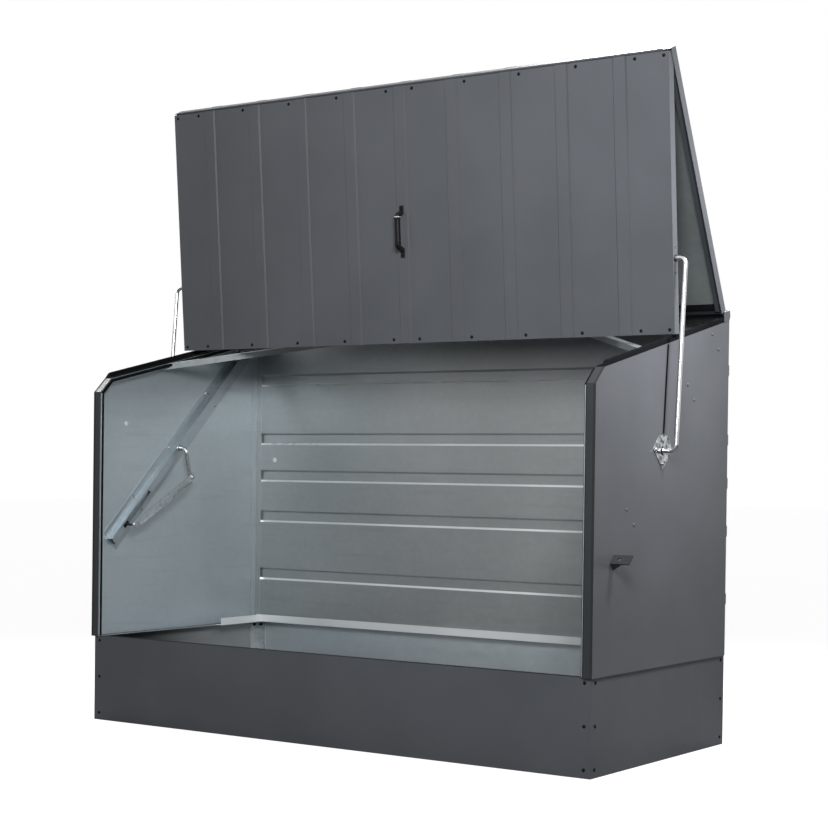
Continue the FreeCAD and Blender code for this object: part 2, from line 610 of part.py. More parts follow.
def floor_rails():
    """Bright angles along the foot of the back and along the rear half of the sides."""
    body = new_body("floor_rail_back")
    base = box_points("back_inner - rail_back_base", "back_inner",
                      "plinth_height", "plinth_height + angle_steel")
    pad(body, "BasePad", outline(body, "Base", "YZ_Plane", base), "2 * inner_edge", middle=True)
    lift = box_points("back_inner - rail_back_base", "back_inner - rail_back_base + angle_steel",
                      "plinth_height + angle_steel", "plinth_height + rail_height")
    pad(body, "UpstandPad", outline(body, "Upstand", "YZ_Plane", lift), "2 * inner_edge", middle=True)
    rear = "-(back_inner - rail_back_base - flange_play)"
    for name, sign in SIDES:
        body = new_body("floor_rail_" + name)
        section = [("inner_edge", "plinth_height"), ("inner_edge", "plinth_height + angle_steel"),
                   ("inner_edge - rail_base + angle_steel", "plinth_height + angle_steel"),
                   ("inner_edge - rail_base + angle_steel", "plinth_height + rail_height"),
                   ("inner_edge - rail_base", "plinth_height + rail_height"),
                   ("inner_edge - rail_base", "plinth_height")]
        sketch = outline(body, "Section", "XZ_Plane", [(away(sign, x), z) for x, z in section], rear)
        pad(body, "Rail", sketch, "back_inner - rail_back_base - flange_play - rail_front")


def top_rail():
    """Fixed rail behind the roof, with a foot on the walls and a drip edge, and its two end caps."""
    body = new_body("top_rail", "slope")
    section = [("roof_edge", "0"), ("top_rail_reach", "0"), ("top_rail_reach", "-top_rail_drip"),
               ("top_rail_reach - sheet_steel", "-top_rail_drip"),
               ("top_rail_reach - sheet_steel", "-sheet_steel"), ("roof_edge + sheet_steel", "-sheet_steel"),
               ("roof_edge + sheet_steel", "sheet_steel - roof_gap"),
               ("roof_edge + top_rail_foot", "sheet_steel - roof_gap"),
               ("roof_edge + top_rail_foot", "-roof_gap"), ("roof_edge", "-roof_gap")]
    pad(body, "Rail", outline(body, "Section", "YZ_Plane", section), "wall_width", middle=True)
    edge, reach = number("roof_edge"), number("top_rail_reach")
    gap, foot = number("roof_gap"), number("roof_edge + top_rail_foot")
    drip = number("top_rail_drip")
    corners = [(edge, 0), (reach, 0), (reach, -drip), (foot, -gap), (edge, -gap), (edge, 0)]
    caps = []
    for side in (-1, 1):
        wire = Part.makePolygon([spot(side * number("wall_half"), y, z) for y, z in corners])
        caps.append(Part.Face(wire).extrude(spot(side * number("cap_steel"), 0, 0)))
    keep_shape("top_rail_caps", Part.makeCompound(caps), "slope")


def corner_brace(name, sign):
    """Angle across a rear corner, at 45 degrees, flat under the flanges of the wall and of the back."""
    half_flange = number("wall_flange") / 2
    side_x = number("wall_half") - half_flange
    slope = math.radians(number("roof_slope"))
    back_u = (number("wall_rear") - half_flange - number("hinge_y")) / math.cos(slope)
    reach = number("brace_width") / 2 * math.sqrt(2)
    total = side_x + back_u - number("brace_run")
    end_x = number("wall_inner") - number("brace_play")
    level = -number("roof_gap") - number("sheet_steel")
    depth = number("brace_width") - level
    end_u = (number("back_inner - hinge_y") - depth * math.sin(slope)) / math.cos(slope) - number("brace_play")
    steel = number("angle_steel")

    def strip(low, high, thickness):
        points = [(end_x, low - end_x), (end_x, high - end_x), (high - end_u, end_u), (low - end_u, end_u)]
        points.append(points[0])
        face = Part.Face(Part.makePolygon([spot(sign * x, u, level) for x, u in points]))
        return face.extrude(spot(0, 0, -thickness))

    plate = strip(total - reach, total + reach, steel)
    leg = strip(total - reach, total - reach + steel * math.sqrt(2), number("brace_width"))
    keep_shape("corner_brace_" + name, plate.fuse(leg).removeSplitter(), "slope")


HINGE_MIDDLES = ("-butt_outer", "-butt_inner", "butt_inner", "butt_outer")
END_KNUCKLES = (("-butt_length / 2", "butt_end_knuckle"),
                ("butt_length / 2 - butt_end_knuckle", "butt_end_knuckle"))
MIDDLE_KNUCKLE = (("butt_end_knuckle - butt_length / 2 + butt_knuckle_gap",
                   "butt_length - 2 * butt_end_knuckle - 2 * butt_knuckle_gap"),)


def roof_hinge_half(leaves, pins, frame, sign, knuckles):
    """Leaves on one side of the four roof hinges, and the pins in their own knuckles."""
    body = new_body(leaves, frame)
    near = away(sign, "butt_radius + 2 * butt_gap")
    plate = box_points(near, away(sign, "butt_radius + 2 * butt_gap + butt_leaf"), "0", "butt_steel")
    tab = box_points("0", near, "0", "butt_steel")
    rods = []
    for i, middle in enumerate(HINGE_MIDDLES):
        start = "%s - butt_length / 2" % middle
        pad(body, "Leaf%d" % i, outline(body, "LeafShape%d" % i, "YZ_Plane", plate, start), "butt_length")
        for j, (begin, length) in enumerate(knuckles):
            start = "%s + %s" % (middle, begin)
            key = "%d%d" % (i, j)
            pad(body, "Tab" + key, outline(body, "TabShape" + key, "YZ_Plane", tab, start), length)
            ring = circles(body, "RingShape" + key, "YZ_Plane", [("0", "0")], "butt_radius", start)
            pad(body, "Ring" + key, ring, length)
            x = number(start)
            rods.append(cylinder(number("butt_pin_radius"), spot(x, 0, 0), spot(x + number(length), 0, 0)))
    cut(body, "BoreCut", circles(body, "Bore", "YZ_Plane", [("0", "0")], "butt_pin_radius + pin_play"))
    keep_shape(pins, Part.makeCompound(rods), frame)


def assist_channel(name, sign):
    """Hat section on the wall's inner face, in line with the closed rod, with a slot for the slider."""
    body = new_body("assist_channel_" + name, "channel")
    web, crown = "crown_width / 2", "crown_width / 2 - sheet_steel"
    tip = "crown_width / 2 + foot_width"
    half = [("wall_inner", tip), ("wall_inner", crown), ("crown_inner + sheet_steel", crown)]
    back = [("crown_inner", web), ("wall_inner - sheet_steel", web), ("wall_inner - sheet_steel", tip)]
    section = [(x, "-(%s)" % y) for x, y in half] + list(reversed(half))
    section += list(reversed(back)) + [(x, "-(%s)" % y) for x, y in back]
    section = [(away(sign, x), y) for x, y in section]
    pad(body, "Channel", outline(body, "Section", "XY_Plane", section, "-channel_down"),
        "channel_up + channel_down")
    cut(body, "BushHoleCut", circles(body, "BushHole", "YZ_Plane", [("0", "0")], "bush_radius + bush_play"))
    turned = [("(%s) * cos(channel_turn) + (%s) * sin(channel_turn)" % (y, z),
               "(%s) * cos(channel_turn) - (%s) * sin(channel_turn)" % (z, y)) for y, z in BRACKET_BOLTS]
    centres = [(aside, along) for along, aside in FIXINGS] + turned
    cut(body, "BoltHolesCut", circles(body, "BoltHoles", "YZ_Plane", centres, "hole_radius"))
    slot = box_points("-channel_slot / 2", "channel_slot / 2", "-slider_down - channel_slot",
                      "channel_slot - slider_down_shut")
    cut(body, "SlotCut", outline(body, "Slot", "YZ_Plane", slot))


def arm_bracket(name, sign):
    """Plate outside the wall round a rod's pivot."""
    body = new_body("arm_bracket_" + name)
    corners = [("-bracket_top_front", "bracket_rise"), ("bracket_top_rear", "bracket_rise"),
               ("bracket_half", "bracket_shoulder"), ("0", "-bracket_fall"),
               ("-bracket_half", "bracket_shoulder")]
    corners = [("pivot_y + (%s)" % y, "pivot_z + (%s)" % z) for y, z in corners]
    sketch = outline(body, "Shape", "YZ_Plane", corners, start_of(sign, "wall_half", "bracket_steel"))
    pad(body, "Plate", sketch, "bracket_steel")
    cut(body, "BushHoleCut", circles(body, "BushHole", "YZ_Plane", [("pivot_y", "pivot_z")],
                                     "bush_radius + bush_play"))
    cut(body, "BoltHolesCut", circles(body, "BoltHoles", "YZ_Plane", bracket_centres(), "hole_radius"))


def arm_bush(name, sign):
    """Flanged bush through plate, wall and channel, in which the rod turns."""
    body = new_body("arm_bush_" + name)
    centre = [("pivot_y", "pivot_z")]
    length = "wall_half + bracket_steel - bush_inner"
    sleeve = circles(body, "SleeveShape", "YZ_Plane", centre, "bush_radius",
                     start_of(sign, "bush_inner", length))
    pad(body, "Sleeve", sleeve, length)
    flange = circles(body, "FlangeShape", "YZ_Plane", centre, "bush_flange",
                     start_of(sign, "wall_half + bracket_steel", "angle_steel"))
    pad(body, "Flange", flange, "angle_steel")
    cut(body, "BoreCut", circles(body, "Bore", "YZ_Plane", centre, "arm_radius + pin_play"))


def wall_bolts():
    """Bolts of the channels and of the pivot plates, their heads outside the walls."""
    sheet = number("sheet_steel")
    half = number("wall_half")
    channel, bracket = [], []
    for side in (-1, 1):
        for along, aside in FIXINGS:
            y, z = channel_spot(along, aside)
            channel.append(bolt(spot(side * half, number(y), number(z)), spot(side, 0, 0), 2 * sheet))
        for y, z in bracket_centres():
            face = side * (half + number("bracket_steel"))
            grip = 2 * sheet + number("bracket_steel")
            bracket.append(bolt(spot(face, number(y), number(z)), spot(side, 0, 0), grip))
    keep_shape("channel_bolts", Part.makeCompound(channel))
    keep_shape("bracket_bolts", Part.makeCompound(bracket))


def lock_lug(name, sign):
    """Tab under the closed rod, with an eye for a padlock and a gusset."""
    body = new_body("lock_lug_" + name, "channel")
    top = "arm_radius + lug_gap"
    low = "-lug_distance - lug_length / 2"
    tab = box_points(away(sign, "wall_half"), away(sign, "wall_half + lug_width"), top, top + " + lug_steel")
    pad(body, "Tab", outline(body, "TabShape", "XY_Plane", tab, low), "lug_length")
    eye = circles(body, "EyeShape", "XZ_Plane", [(away(sign, "wall_half + lug_eye_out"), "-lug_distance")],
                  "lug_eye / 2")
    cut(body, "Eye", eye)
    gusset = [(away(sign, "wall_half"), top + " + lug_steel"),
              (away(sign, "wall_half + gusset_width"), top + " + lug_steel"),
              (away(sign, "wall_half"), top + " + lug_steel + gusset_height")]
    pad(body, "Gusset", outline(body, "GussetShape", "XY_Plane", gusset, low), "lug_steel")


def guard_strip(name, sign):
    """Narrow strip on the wall behind the open rod."""
    body = new_body("guard_strip_" + name, "arm")
    shape = box_points("strip_start", "strip_end", "-strip_width / 2", "strip_width / 2")
    sketch = outline(body, "Shape", "YZ_Plane", shape, start_of(sign, "wall_half", "strip_steel"))
    pad(body, "Strip", sketch, "strip_steel")


def strut(name, sign):
    """Gas strut in the channel: its tube hangs below the bush, its rod stands on the slider."""
    middle = away(sign, "(crown_inner + sheet_steel + wall_inner) / 2")
    body = new_body("strut_tube_" + name, "channel")
    pad(body, "Tube", circles(body, "TubeShape", "XY_Plane", [(middle, "0")], "strut_radius", "-strut_end"),
        "strut_length")
    cut(body, "BoreCut", circles(body, "Bore", "XY_Plane", [(middle, "0")], "strut_bore", "-strut_end"),
        "strut_length - strut_end_wall", reverse=True)
    body = new_body("strut_rod_" + name, "channel")
    rod = circles(body, "RodShape", "XY_Plane", [(middle, "0")], "strut_rod_radius",
                  "slider_length / 2 - slider_down")
    pad(body, "Rod", rod, "slider_down - slider_length / 2 - strut_end + strut_overlap")


def assist_slider(name, sign):
    """Block in the channel, with a neck through the slot and a pin that ends beside the link."""
    body = new_body("assist_slider_" + name, "channel")
    inner = "crown_inner + sheet_steel + slider_play"
    aside = "crown_width / 2 - sheet_steel - slider_play"
    block = box_points(away(sign, inner), away(sign, "wall_inner - slider_play"), "-(%s)" % aside, aside)
    pad(body, "Block", outline(body, "BlockShape", "XY_Plane", block, "-slider_down - slider_length / 2"),
        "slider_length")
    centre = [("0", "-slider_down")]
    length = "sheet_steel + 2 * slider_play"
    near = "crown_inner - slider_play"
    pad(body, "Neck", circles(body, "NeckShape", "YZ_Plane", centre, "slider_neck / 2",
                              start_of(sign, near, length)), length)
    near = "link_plane + link_steel / 2 + flange_play"
    length = "crown_inner - link_plane - link_steel / 2 - flange_play"
    pad(body, "Pin", circles(body, "PinShape", "YZ_Plane", centre, "pin_radius",
                             start_of(sign, near, length)), length)


def assist_link(name, sign):
    """Angle bar from the crank's pin to the slider's pin."""
    body = new_body("assist_link_" + name, "link")
    near = "link_plane - link_steel / 2"
    shape = box_points("-link_width / 2", "link_length + link_width / 2", "-link_width / 2", "link_width / 2")
    bar = outline(body, "BarShape", "YZ_Plane", shape, start_of(sign, near, "link_steel"))
    pad(body, "Bar", bar, "link_steel")
    leg = box_points("link_leg_end", "link_length - link_leg_end", "link_width / 2 - angle_steel",
                     "link_width / 2")
    side = outline(body, "LegShape", "YZ_Plane", leg, start_of(sign, near + " - link_leg", "link_leg"))
    pad(body, "Leg", side, "link_leg")
    boss = circles(body, "BossShape", "YZ_Plane", [("link_length", "0")], "link_boss_radius",
                   start_of(sign, near + " - link_boss_height", "link_boss_height"))
    pad(body, "Boss", boss, "link_boss_height")
    cut(body, "BoreCut", circles(body, "Bore", "YZ_Plane", [("0", "0")], "pin_radius + pin_play"))


def bent_rod(points, radius, bend):
    """Round rod along straight runs, joined by bends of one radius."""
    pieces = []
    start = points[0]
    for i in range(1, len(points) - 1):
        corner = points[i]
        into = (corner - points[i - 1]).normalize()
        out = (points[i + 1] - corner).normalize()
        turn = math.acos(max(-1.0, min(1.0, into.dot(out))))
        setback = bend * math.tan(turn / 2)
        first = corner - into * setback
        pieces.append(cylinder(radius, start, first))
        axis = into.cross(out).normalize()
        centre = first + axis.cross(into) * bend
        disc = Part.Face(Part.Wire(Part.makeCircle(radius, first, into)))
        pieces.append(disc.revolve(centre, axis, math.degrees(turn)))
        start = corner + out * setback
    pieces.append(cylinder(radius, start, points[-1]))
    return pieces


def lid_arm(name, sign):
    """Rod from the door's socket down to the pivot, through the wall, and on into the crank with its pin."""
    outer, inner = number("arm_plane"), number("crank_plane")
    tip = number("door_half - sheet_steel - arm_end")
    reach, length = number("arm_reach"), number("crank_length")
    angle = math.radians(-number("crank_turn"))
    end_y, end_z = length * math.cos(angle), length * math.sin(angle)
    points = [(tip, reach, 0), (outer, reach, 0), (outer, 0, 0), (inner, 0, 0), (inner, end_y, end_z)]
    points = [spot(sign * x, y, z) for x, y, z in points]
    pieces = bent_rod(points, number("arm_radius"), number("arm_bend"))
    face = number("link_plane - link_steel / 2 - flange_play")
    pin = cylinder(number("pin_radius"), points[-1], spot(sign * face, end_y, end_z))
    head = cylinder(number("pin_head_radius"), spot(sign * face, end_y, end_z),
                    spot(sign * (face - number("pin_head_height")), end_y, end_z))
    rod = pieces[0].fuse(pieces[1:] + [pin, head]).removeSplitter()
    keep_shape("lid_arm_" + name, rod, "arm")
    near = number("bush_inner - collar_gap")
    ends = (spot(sign * near, 0, 0), spot(sign * (near - number("collar_length")), 0, 0))
    collar = cylinder(number("collar_radius"), *ends).cut(cylinder(number("arm_radius"), *ends))
    keep_shape("arm_collar_" + name, collar, "arm")


def ridged_panel(label, frame, half, top, bottom, flange):
    """Sheet with ridges along its length and a flange down each side, its face in the frame's plane."""
    body = new_body(label, frame)
    length = "(%s) - (%s)" % (bottom, top)
    skin = outline(body, "Skin", "XZ_Plane", box_points(away(-1, half), half, "-sheet_steel", "0"), top)
    pad(body, "SkinPad", skin, length)
    middle = "(1 - ridge_count) / 2 * ridge_pitch"
    wide = (middle + " - ridge_width / 2", middle + " + ridge_width / 2")
    narrow = (middle + " - ridge_top / 2", middle + " + ridge_top / 2")
    mouth = outline(body, "Mouth", "XZ_Plane", box_points(wide[0], wide[1], "-sheet_steel", "0"), top)
    mouth_cut = cut(body, "MouthCut", mouth, length, reverse=True)
    ridge = [(wide[0], "0"), (narrow[0], "ridge_height"), (narrow[1], "ridge_height"), (wide[1], "0"),
             (wide[1], "-sheet_steel"), (narrow[1], "ridge_hollow"), (narrow[0], "ridge_hollow"),
             (wide[0], "-sheet_steel")]
    sketch = outline(body, "Ridge", "XZ_Plane", ridge, top)
    ridge_pad = pad(body, "RidgePad", sketch, length)
    pattern = body.newObject("PartDesign::LinearPattern", "Ridges")
    pattern.Originals = [mouth_cut, ridge_pad]
    pattern.Direction = (sketch, ["H_Axis"])
    pattern.setExpression("Length", tie("(ridge_count - 1) * ridge_pitch"))
    pattern.setExpression("Occurrences", tie("ridge_count"))
    body.Tip = pattern
    for name, sign in SIDES:
        edge = box_points(away(sign, half + " - sheet_steel"), away(sign, half),
                          "-(%s)" % flange, "-sheet_steel")
        sketch = outline(body, name.title() + "Flange", "XZ_Plane", edge, top)
        pad(body, name.title() + "FlangePad", sketch, length)
    return body


def across(body, name, half, low, high, start):
    """Strip of sheet right across a panel, square to its face."""
    shape = box_points(away(-1, half), half, low, high)
    pad(body, name + "Pad", outline(body, name, "XZ_Plane", shape, start), "sheet_steel")


def roof_panel():
    body = ridged_panel("roof_panel", "roof", "roof_half", "roof_edge", "roof_length", "roof_flange")
    across(body, "Fascia", "roof_half - sheet_steel", "-fascia_drop", "0", "roof_length - sheet_steel")
    across(body, "RearFlange", "roof_half - sheet_steel", "-roof_rear_flange", "-sheet_steel", "roof_edge")


def roof_side_rail(name, sign):
    """Channel under the roof's side, open towards the middle."""
    body = new_body("roof_side_rail_" + name, "roof")
    outer, inner = "rail_outer", "rail_outer - roof_rail_width"
    low = "-sheet_steel - roof_rail_depth"
    section = [(outer, "-sheet_steel"), (outer, low), (inner, low), (inner, low + " + sheet_steel"),
               (outer + " - sheet_steel", low + " + sheet_steel"),
               (outer + " - sheet_steel", "-2 * sheet_steel"),
               (inner, "-2 * sheet_steel"), (inner, "-sheet_steel")]
    start = "roof_edge + sheet_steel + roof_rail_end"
    sketch = outline(body, "Section", "XZ_Plane", [(away(sign, x), z) for x, z in section], start)
    pad(body, "Rail", sketch, "roof_length - sheet_steel - roof_rail_end - (%s)" % start)


def door_hinge_leaf(label, frame, plate, arm, centre, start):
    """Leaf of the door's long hinge, with every second knuckle of the barrel."""
    body = new_body(label, frame)
    pad(body, "Leaf", outline(body, "LeafShape", "YZ_Plane", plate, "-knuckle_start"), "2 * knuckle_start")
    begin = "%s + knuckle_gap / 2" % start
    length = "knuckle_pitch - knuckle_gap"
    bent = pad(body, "Bent", outline(body, "BentShape", "YZ_Plane", arm, begin), length)
    ring = pad(body, "Ring", circles(body, "RingShape", "YZ_Plane", [centre], "barrel_radius", begin), length)
    pattern = body.newObject("PartDesign::LinearPattern", "Knuckles")
    pattern.Originals = [bent, ring]
    pattern.Direction = ([f for f in body.Origin.OriginFeatures if f.Role == "X_Axis"][0], [""])
    pattern.setExpression("Length", tie("(knuckle_pairs - 1) * 2 * knuckle_pitch"))
    pattern.setExpression("Occurrences", tie("knuckle_pairs"))
    body.Tip = pattern
    cut(body, "BoreCut", circles(body, "Bore", "YZ_Plane", [centre], "door_pin_radius + pin_play"))


def door_hinge():
    """Long hinge between the roof's front and the door's upper edge."""
    inner, deep = "sheet_steel - roof_length", "2 * sheet_steel - roof_length"
    plate = box_points(inner, deep, "-fascia_drop", "leaf_width - fascia_drop")
    bent = box_points(inner, deep, "-roof_drop", "-fascia_drop")
    door_hinge_leaf("door_hinge_upper_leaf", "roof", plate, bent, ("-roof_length", "-roof_drop"),
                    "-knuckle_start")
    edge = "-leaf_web_drop - sheet_steel"
    back = "-2 * sheet_steel"
    plate = box_points(edge + " - leaf_width", edge, back, "-sheet_steel")
    bent = box_points(edge, "-leaf_web_drop", back, "sheet_steel - barrel_radius")
    door_hinge_leaf("door_hinge_lower_leaf", "door", plate, bent, ("0", "0"), "knuckle_pitch - knuckle_start")
    y, z, reach = -number("roof_length"), -number("roof_drop"), number("knuckle_start")
    pin = cylinder(number("door_pin_radius"), spot(-reach, y, z), spot(reach, y, z))
    keep_shape("door_hinge_pin", pin, "roof")


def door_bolt_places():
    """Bolts beside the ridges, as far as those near both sides leave room, along both long edges."""
    columns = []
    room = number("door_half - door_bolt_edge - door_bolt_offset - 2 * bolt_radius")
    ridges = [i for i in range(int(number("(ridge_count + 1) / 2"))) if i * number("ridge_pitch") < room]
    for sign in (-1, 1):
        for i in ridges:
            columns.append(away(sign, "%d * ridge_pitch + door_bolt_offset" % i))
        columns.append(away(sign, "door_half - door_bolt_edge"))
    rows = ("-door_bolt_top", "door_bolt_bottom - door_length")
    return [(x, y) for y in rows for x in columns]


def door_panel():
    body = ridged_panel("door_panel", "door", "door_half", "door_top", "door_length", "door_flange")
    across(body, "LowerLip", "lip_half", "-door_lip", "-sheet_steel", "door_length - sheet_steel")
    cut(body, "BoltHolesCut", circles(body, "BoltHoles", "XY_Plane", door_bolt_places(), "hole_radius"))
    cut(body, "SocketHolesCut", circles(body, "SocketHoles", "YZ_Plane", [("-arm_below", "-arm_depth")],
                                        "socket_radius + bush_play"))
    slot = box_points("-arm_below - slot_start - socket_flange", "-arm_below - slot_start - socket_flange"
                      " - slot_length", "-slot_depth", "-slot_depth - slot_width")
    for name, sign in SIDES:
        sketch = outline(body, name.title() + "Slot", "YZ_Plane", slot,
                         away(sign, "door_half - 2 * sheet_steel"))
        cut(body, name.title() + "SlotCut", sketch, "4 * sheet_steel", reverse=sign > 0)


def door_bottom_rail():
    """Angle inside the door's lower edge."""
    body = new_body("door_bottom_rail", "door")
    low = "sheet_steel - door_length"
    plate = box_points(low, low + " + door_rail_width", "-sheet_steel", "-sheet_steel - angle_steel")
    pad(body, "PlatePad", outline(body, "Plate", "YZ_Plane", plate), "2 * lip_half", middle=True)
    leg = box_points(low, low + " + angle_steel", "-sheet_steel - angle_steel", "-door_lip")
    pad(body, "LegPad", outline(body, "Leg", "YZ_Plane", leg), "2 * lip_half", middle=True)


def door_handle():
    """Bow handle on the middle ridge: a rounded grip, two legs and two feet with a screw each."""
    body = new_body("door_handle", "door")
    top, bottom = "-handle_top", "-handle_top - handle_length"
    floor, tread = "ridge_height", "ridge_height + handle_foot"
    face = "ridge_height + grip_standoff"
    inner = face + " - grip_depth"
    ends = (top + " - foot_upper - leg_lean - grip_bend", bottom + " + foot_lower + leg_lean + grip_bend")
    shape = outline(body, "GripShape", "YZ_Plane", box_points(ends[0], ends[1], inner, face))
    grip = pad(body, "Grip", shape, "grip_width", middle=True)
    doc.recompute()
    length = abs(number(ends[0]) - number(ends[1]))
    edges = ["Edge%d" % (i + 1) for i, edge in enumerate(grip.Shape.Edges)
             if abs(edge.Length - length) < 0.01]
    rounding = body.newObject("PartDesign::Fillet", "Rounding")
    rounding.Base = (grip, edges)
    rounding.setExpression("Radius", tie("grip_radius"))
    for name, end, foot, step in (("Upper", top, "foot_upper", " - "),
                                  ("Lower", bottom, "foot_lower", " + ")):
        knee = end + step + foot
        bend = knee + step + "leg_lean" + step + "grip_bend"
        shape = [(end, floor), (end, tread), (knee, tread), (knee + step + "leg_lean", face + " - grip_bend"),
                 (bend, face), (bend + step + "grip_bend", face), (bend + step + "grip_bend", inner),
                 (knee + step + "leg_root" + step + "leg_lean", inner), (knee + step + "leg_root", floor)]
        sketch = outline(body, name + "LegShape", "YZ_Plane", shape)
        pad(body, name + "Leg", sketch, "handle_width", middle=True)
    heads = []
    for middle in (top + " - foot_upper / 2", bottom + " + foot_lower / 2"):
        centre = spot(0, number(middle), number(tread))
        heads.append(dome(centre, spot(0, 0, 1), number("bolt_radius"), number("bolt_head_height") / 2))
    keep_shape("handle_bolts", Part.makeCompound(heads), "door")


def door_fittings():
    """Bolt heads on the door and the sockets for the rods' ends in its side flanges."""
    places = [spot(number(x), number(y), 0) for x, y in door_bolt_places()]
    bolts = [bolt(centre, spot(0, 0, 1), number("sheet_steel"), nut=False) for centre in places]
    keep_shape("door_bolts", Part.makeCompound(bolts), "door")
    y, z, half = -number("arm_below"), -number("arm_depth"), number("door_half")
    inner, steel = half - number("sheet_steel + arm_end"), number("angle_steel")
    sockets = []
    for side in (-1, 1):
        sleeve = cylinder(number("socket_radius"), spot(side * inner, y, z), spot(side * half, y, z))
        flange = cylinder(number("socket_flange"), spot(side * half, y, z), spot(side * (half + steel), y, z))
        bore = cylinder(number("arm_radius + pin_play"), spot(side * (inner - 1), y, z),
                        spot(side * (half + steel + 1), y, z))
        sockets.append(sleeve.fuse(flange).cut(bore).removeSplitter())
    keep_shape("arm_sockets", Part.makeCompound(sockets), "door")


plinth()
plinth_corners()
back_panel()
floor_rails()
top_rail()
roof_hinge_half("roof_hinge_fixed_leaves", "roof_hinge_fixed_pins", "slope", 1, END_KNUCKLES)
wall_bolts()
roof_panel()
roof_hinge_half("roof_hinge_moving_leaves", "roof_hinge_moving_pins", "roof", -1, MIDDLE_KNUCKLE)
door_hinge()
door_panel()
door_bottom_rail()
door_handle()
door_fittings()
for side_name, side_sign in SIDES:
    side_wall(side_name, side_sign)
    corner_post(side_name, side_sign)
    corner_brace(side_name, side_sign)
    assist_channel(side_name, side_sign)
    arm_bracket(side_name, side_sign)
    arm_bush(side_name, side_sign)
    lock_lug(side_name, side_sign)
    guard_strip(side_name, side_sign)
    strut(side_name, side_sign)
    assist_slider(side_name, side_sign)
    assist_link(side_name, side_sign)
    lid_arm(side_name, side_sign)
    roof_side_rail(side_name, side_sign)
doc.recompute()

for thing in doc.Objects:
    if "Invalid" in thing.State or "Error" in thing.State:
        raise RuntimeError("%s failed: %s" % (thing.Name, thing.State))
for feature, before in CUTS:
    if feature.Shape.Volume >= before.Shape.Volume:
        raise RuntimeError("%s of %s cuts nothing" % (feature.Name, feature.getParent().Label))
pieces = [thing for thing in doc.Objects if thing.TypeId in ("PartDesign::Body", "Part::Feature")
          and thing.getParentGroup() is None]
os.makedirs("parts", exist_ok=True)
for piece in pieces:
    if piece.Shape.isNull() or not piece.Shape.isValid():
        raise RuntimeError("%s has no valid shape" % piece.Label)
for piece in pieces:
    piece.Shape.exportStep("parts/%s.step" % piece.Label)
print("%d sub-parts" % len(pieces))
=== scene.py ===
"""Bicycle locker of folded sheet steel, standing open: finishes, small fittings, lamps and camera."""

import logging
import math
from dataclasses import dataclass
from enum import Enum
from typing import Iterable, Sequence, Union

import bmesh
import bpy
from mathutils import Matrix, Vector


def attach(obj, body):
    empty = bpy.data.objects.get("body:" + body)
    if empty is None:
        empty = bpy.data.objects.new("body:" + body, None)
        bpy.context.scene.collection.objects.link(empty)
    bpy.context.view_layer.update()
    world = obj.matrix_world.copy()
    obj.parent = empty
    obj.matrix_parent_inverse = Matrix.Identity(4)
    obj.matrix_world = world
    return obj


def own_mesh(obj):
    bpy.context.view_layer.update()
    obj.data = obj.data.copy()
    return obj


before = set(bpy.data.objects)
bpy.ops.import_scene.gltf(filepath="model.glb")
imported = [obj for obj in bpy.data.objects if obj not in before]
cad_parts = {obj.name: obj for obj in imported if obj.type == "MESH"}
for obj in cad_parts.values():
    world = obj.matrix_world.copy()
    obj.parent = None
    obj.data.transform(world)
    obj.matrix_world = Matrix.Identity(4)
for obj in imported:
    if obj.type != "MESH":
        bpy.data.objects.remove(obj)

LOG = logging.getLogger("locker")
Triple = tuple[float, float, float]
Colour = Triple
Value = Union["Wire", float, Triple]
X_AXIS = Vector((1.0, 0.0, 0.0))
FRONT, REAR, UP = (0.0, -1.0, 0.0), (0.0, 1.0, 0.0), (0.0, 0.0, 1.0)
WHITE, BLACK = (1.0, 1.0, 1.0), (0.0, 0.0, 0.0)
MILLIMETRE = 0.001
CREASE_ANGLE = math.radians(35.0)


class Side(Enum):
    """Side of the locker, with the sign that X has there."""

    LEFT = -1.0
    RIGHT = 1.0

    def name_of(self, piece: str) -> str:
        """Name of this side's piece of a pair."""
        return f"{piece}_{self.name.lower()}"


class Axis(Enum):
    """Axis of the object's coordinates, with the name of its socket."""

    X = "X"
    Y = "Y"
    Z = "Z"


class Face(Enum):
    """Which faces of a sheet a coat covers."""

    SIDE = "outer faces square to X"
    INWARD_SIDE = "inner faces square to X"
    DIRECTION = "faces that look along a direction"
    EVERY = "all faces"


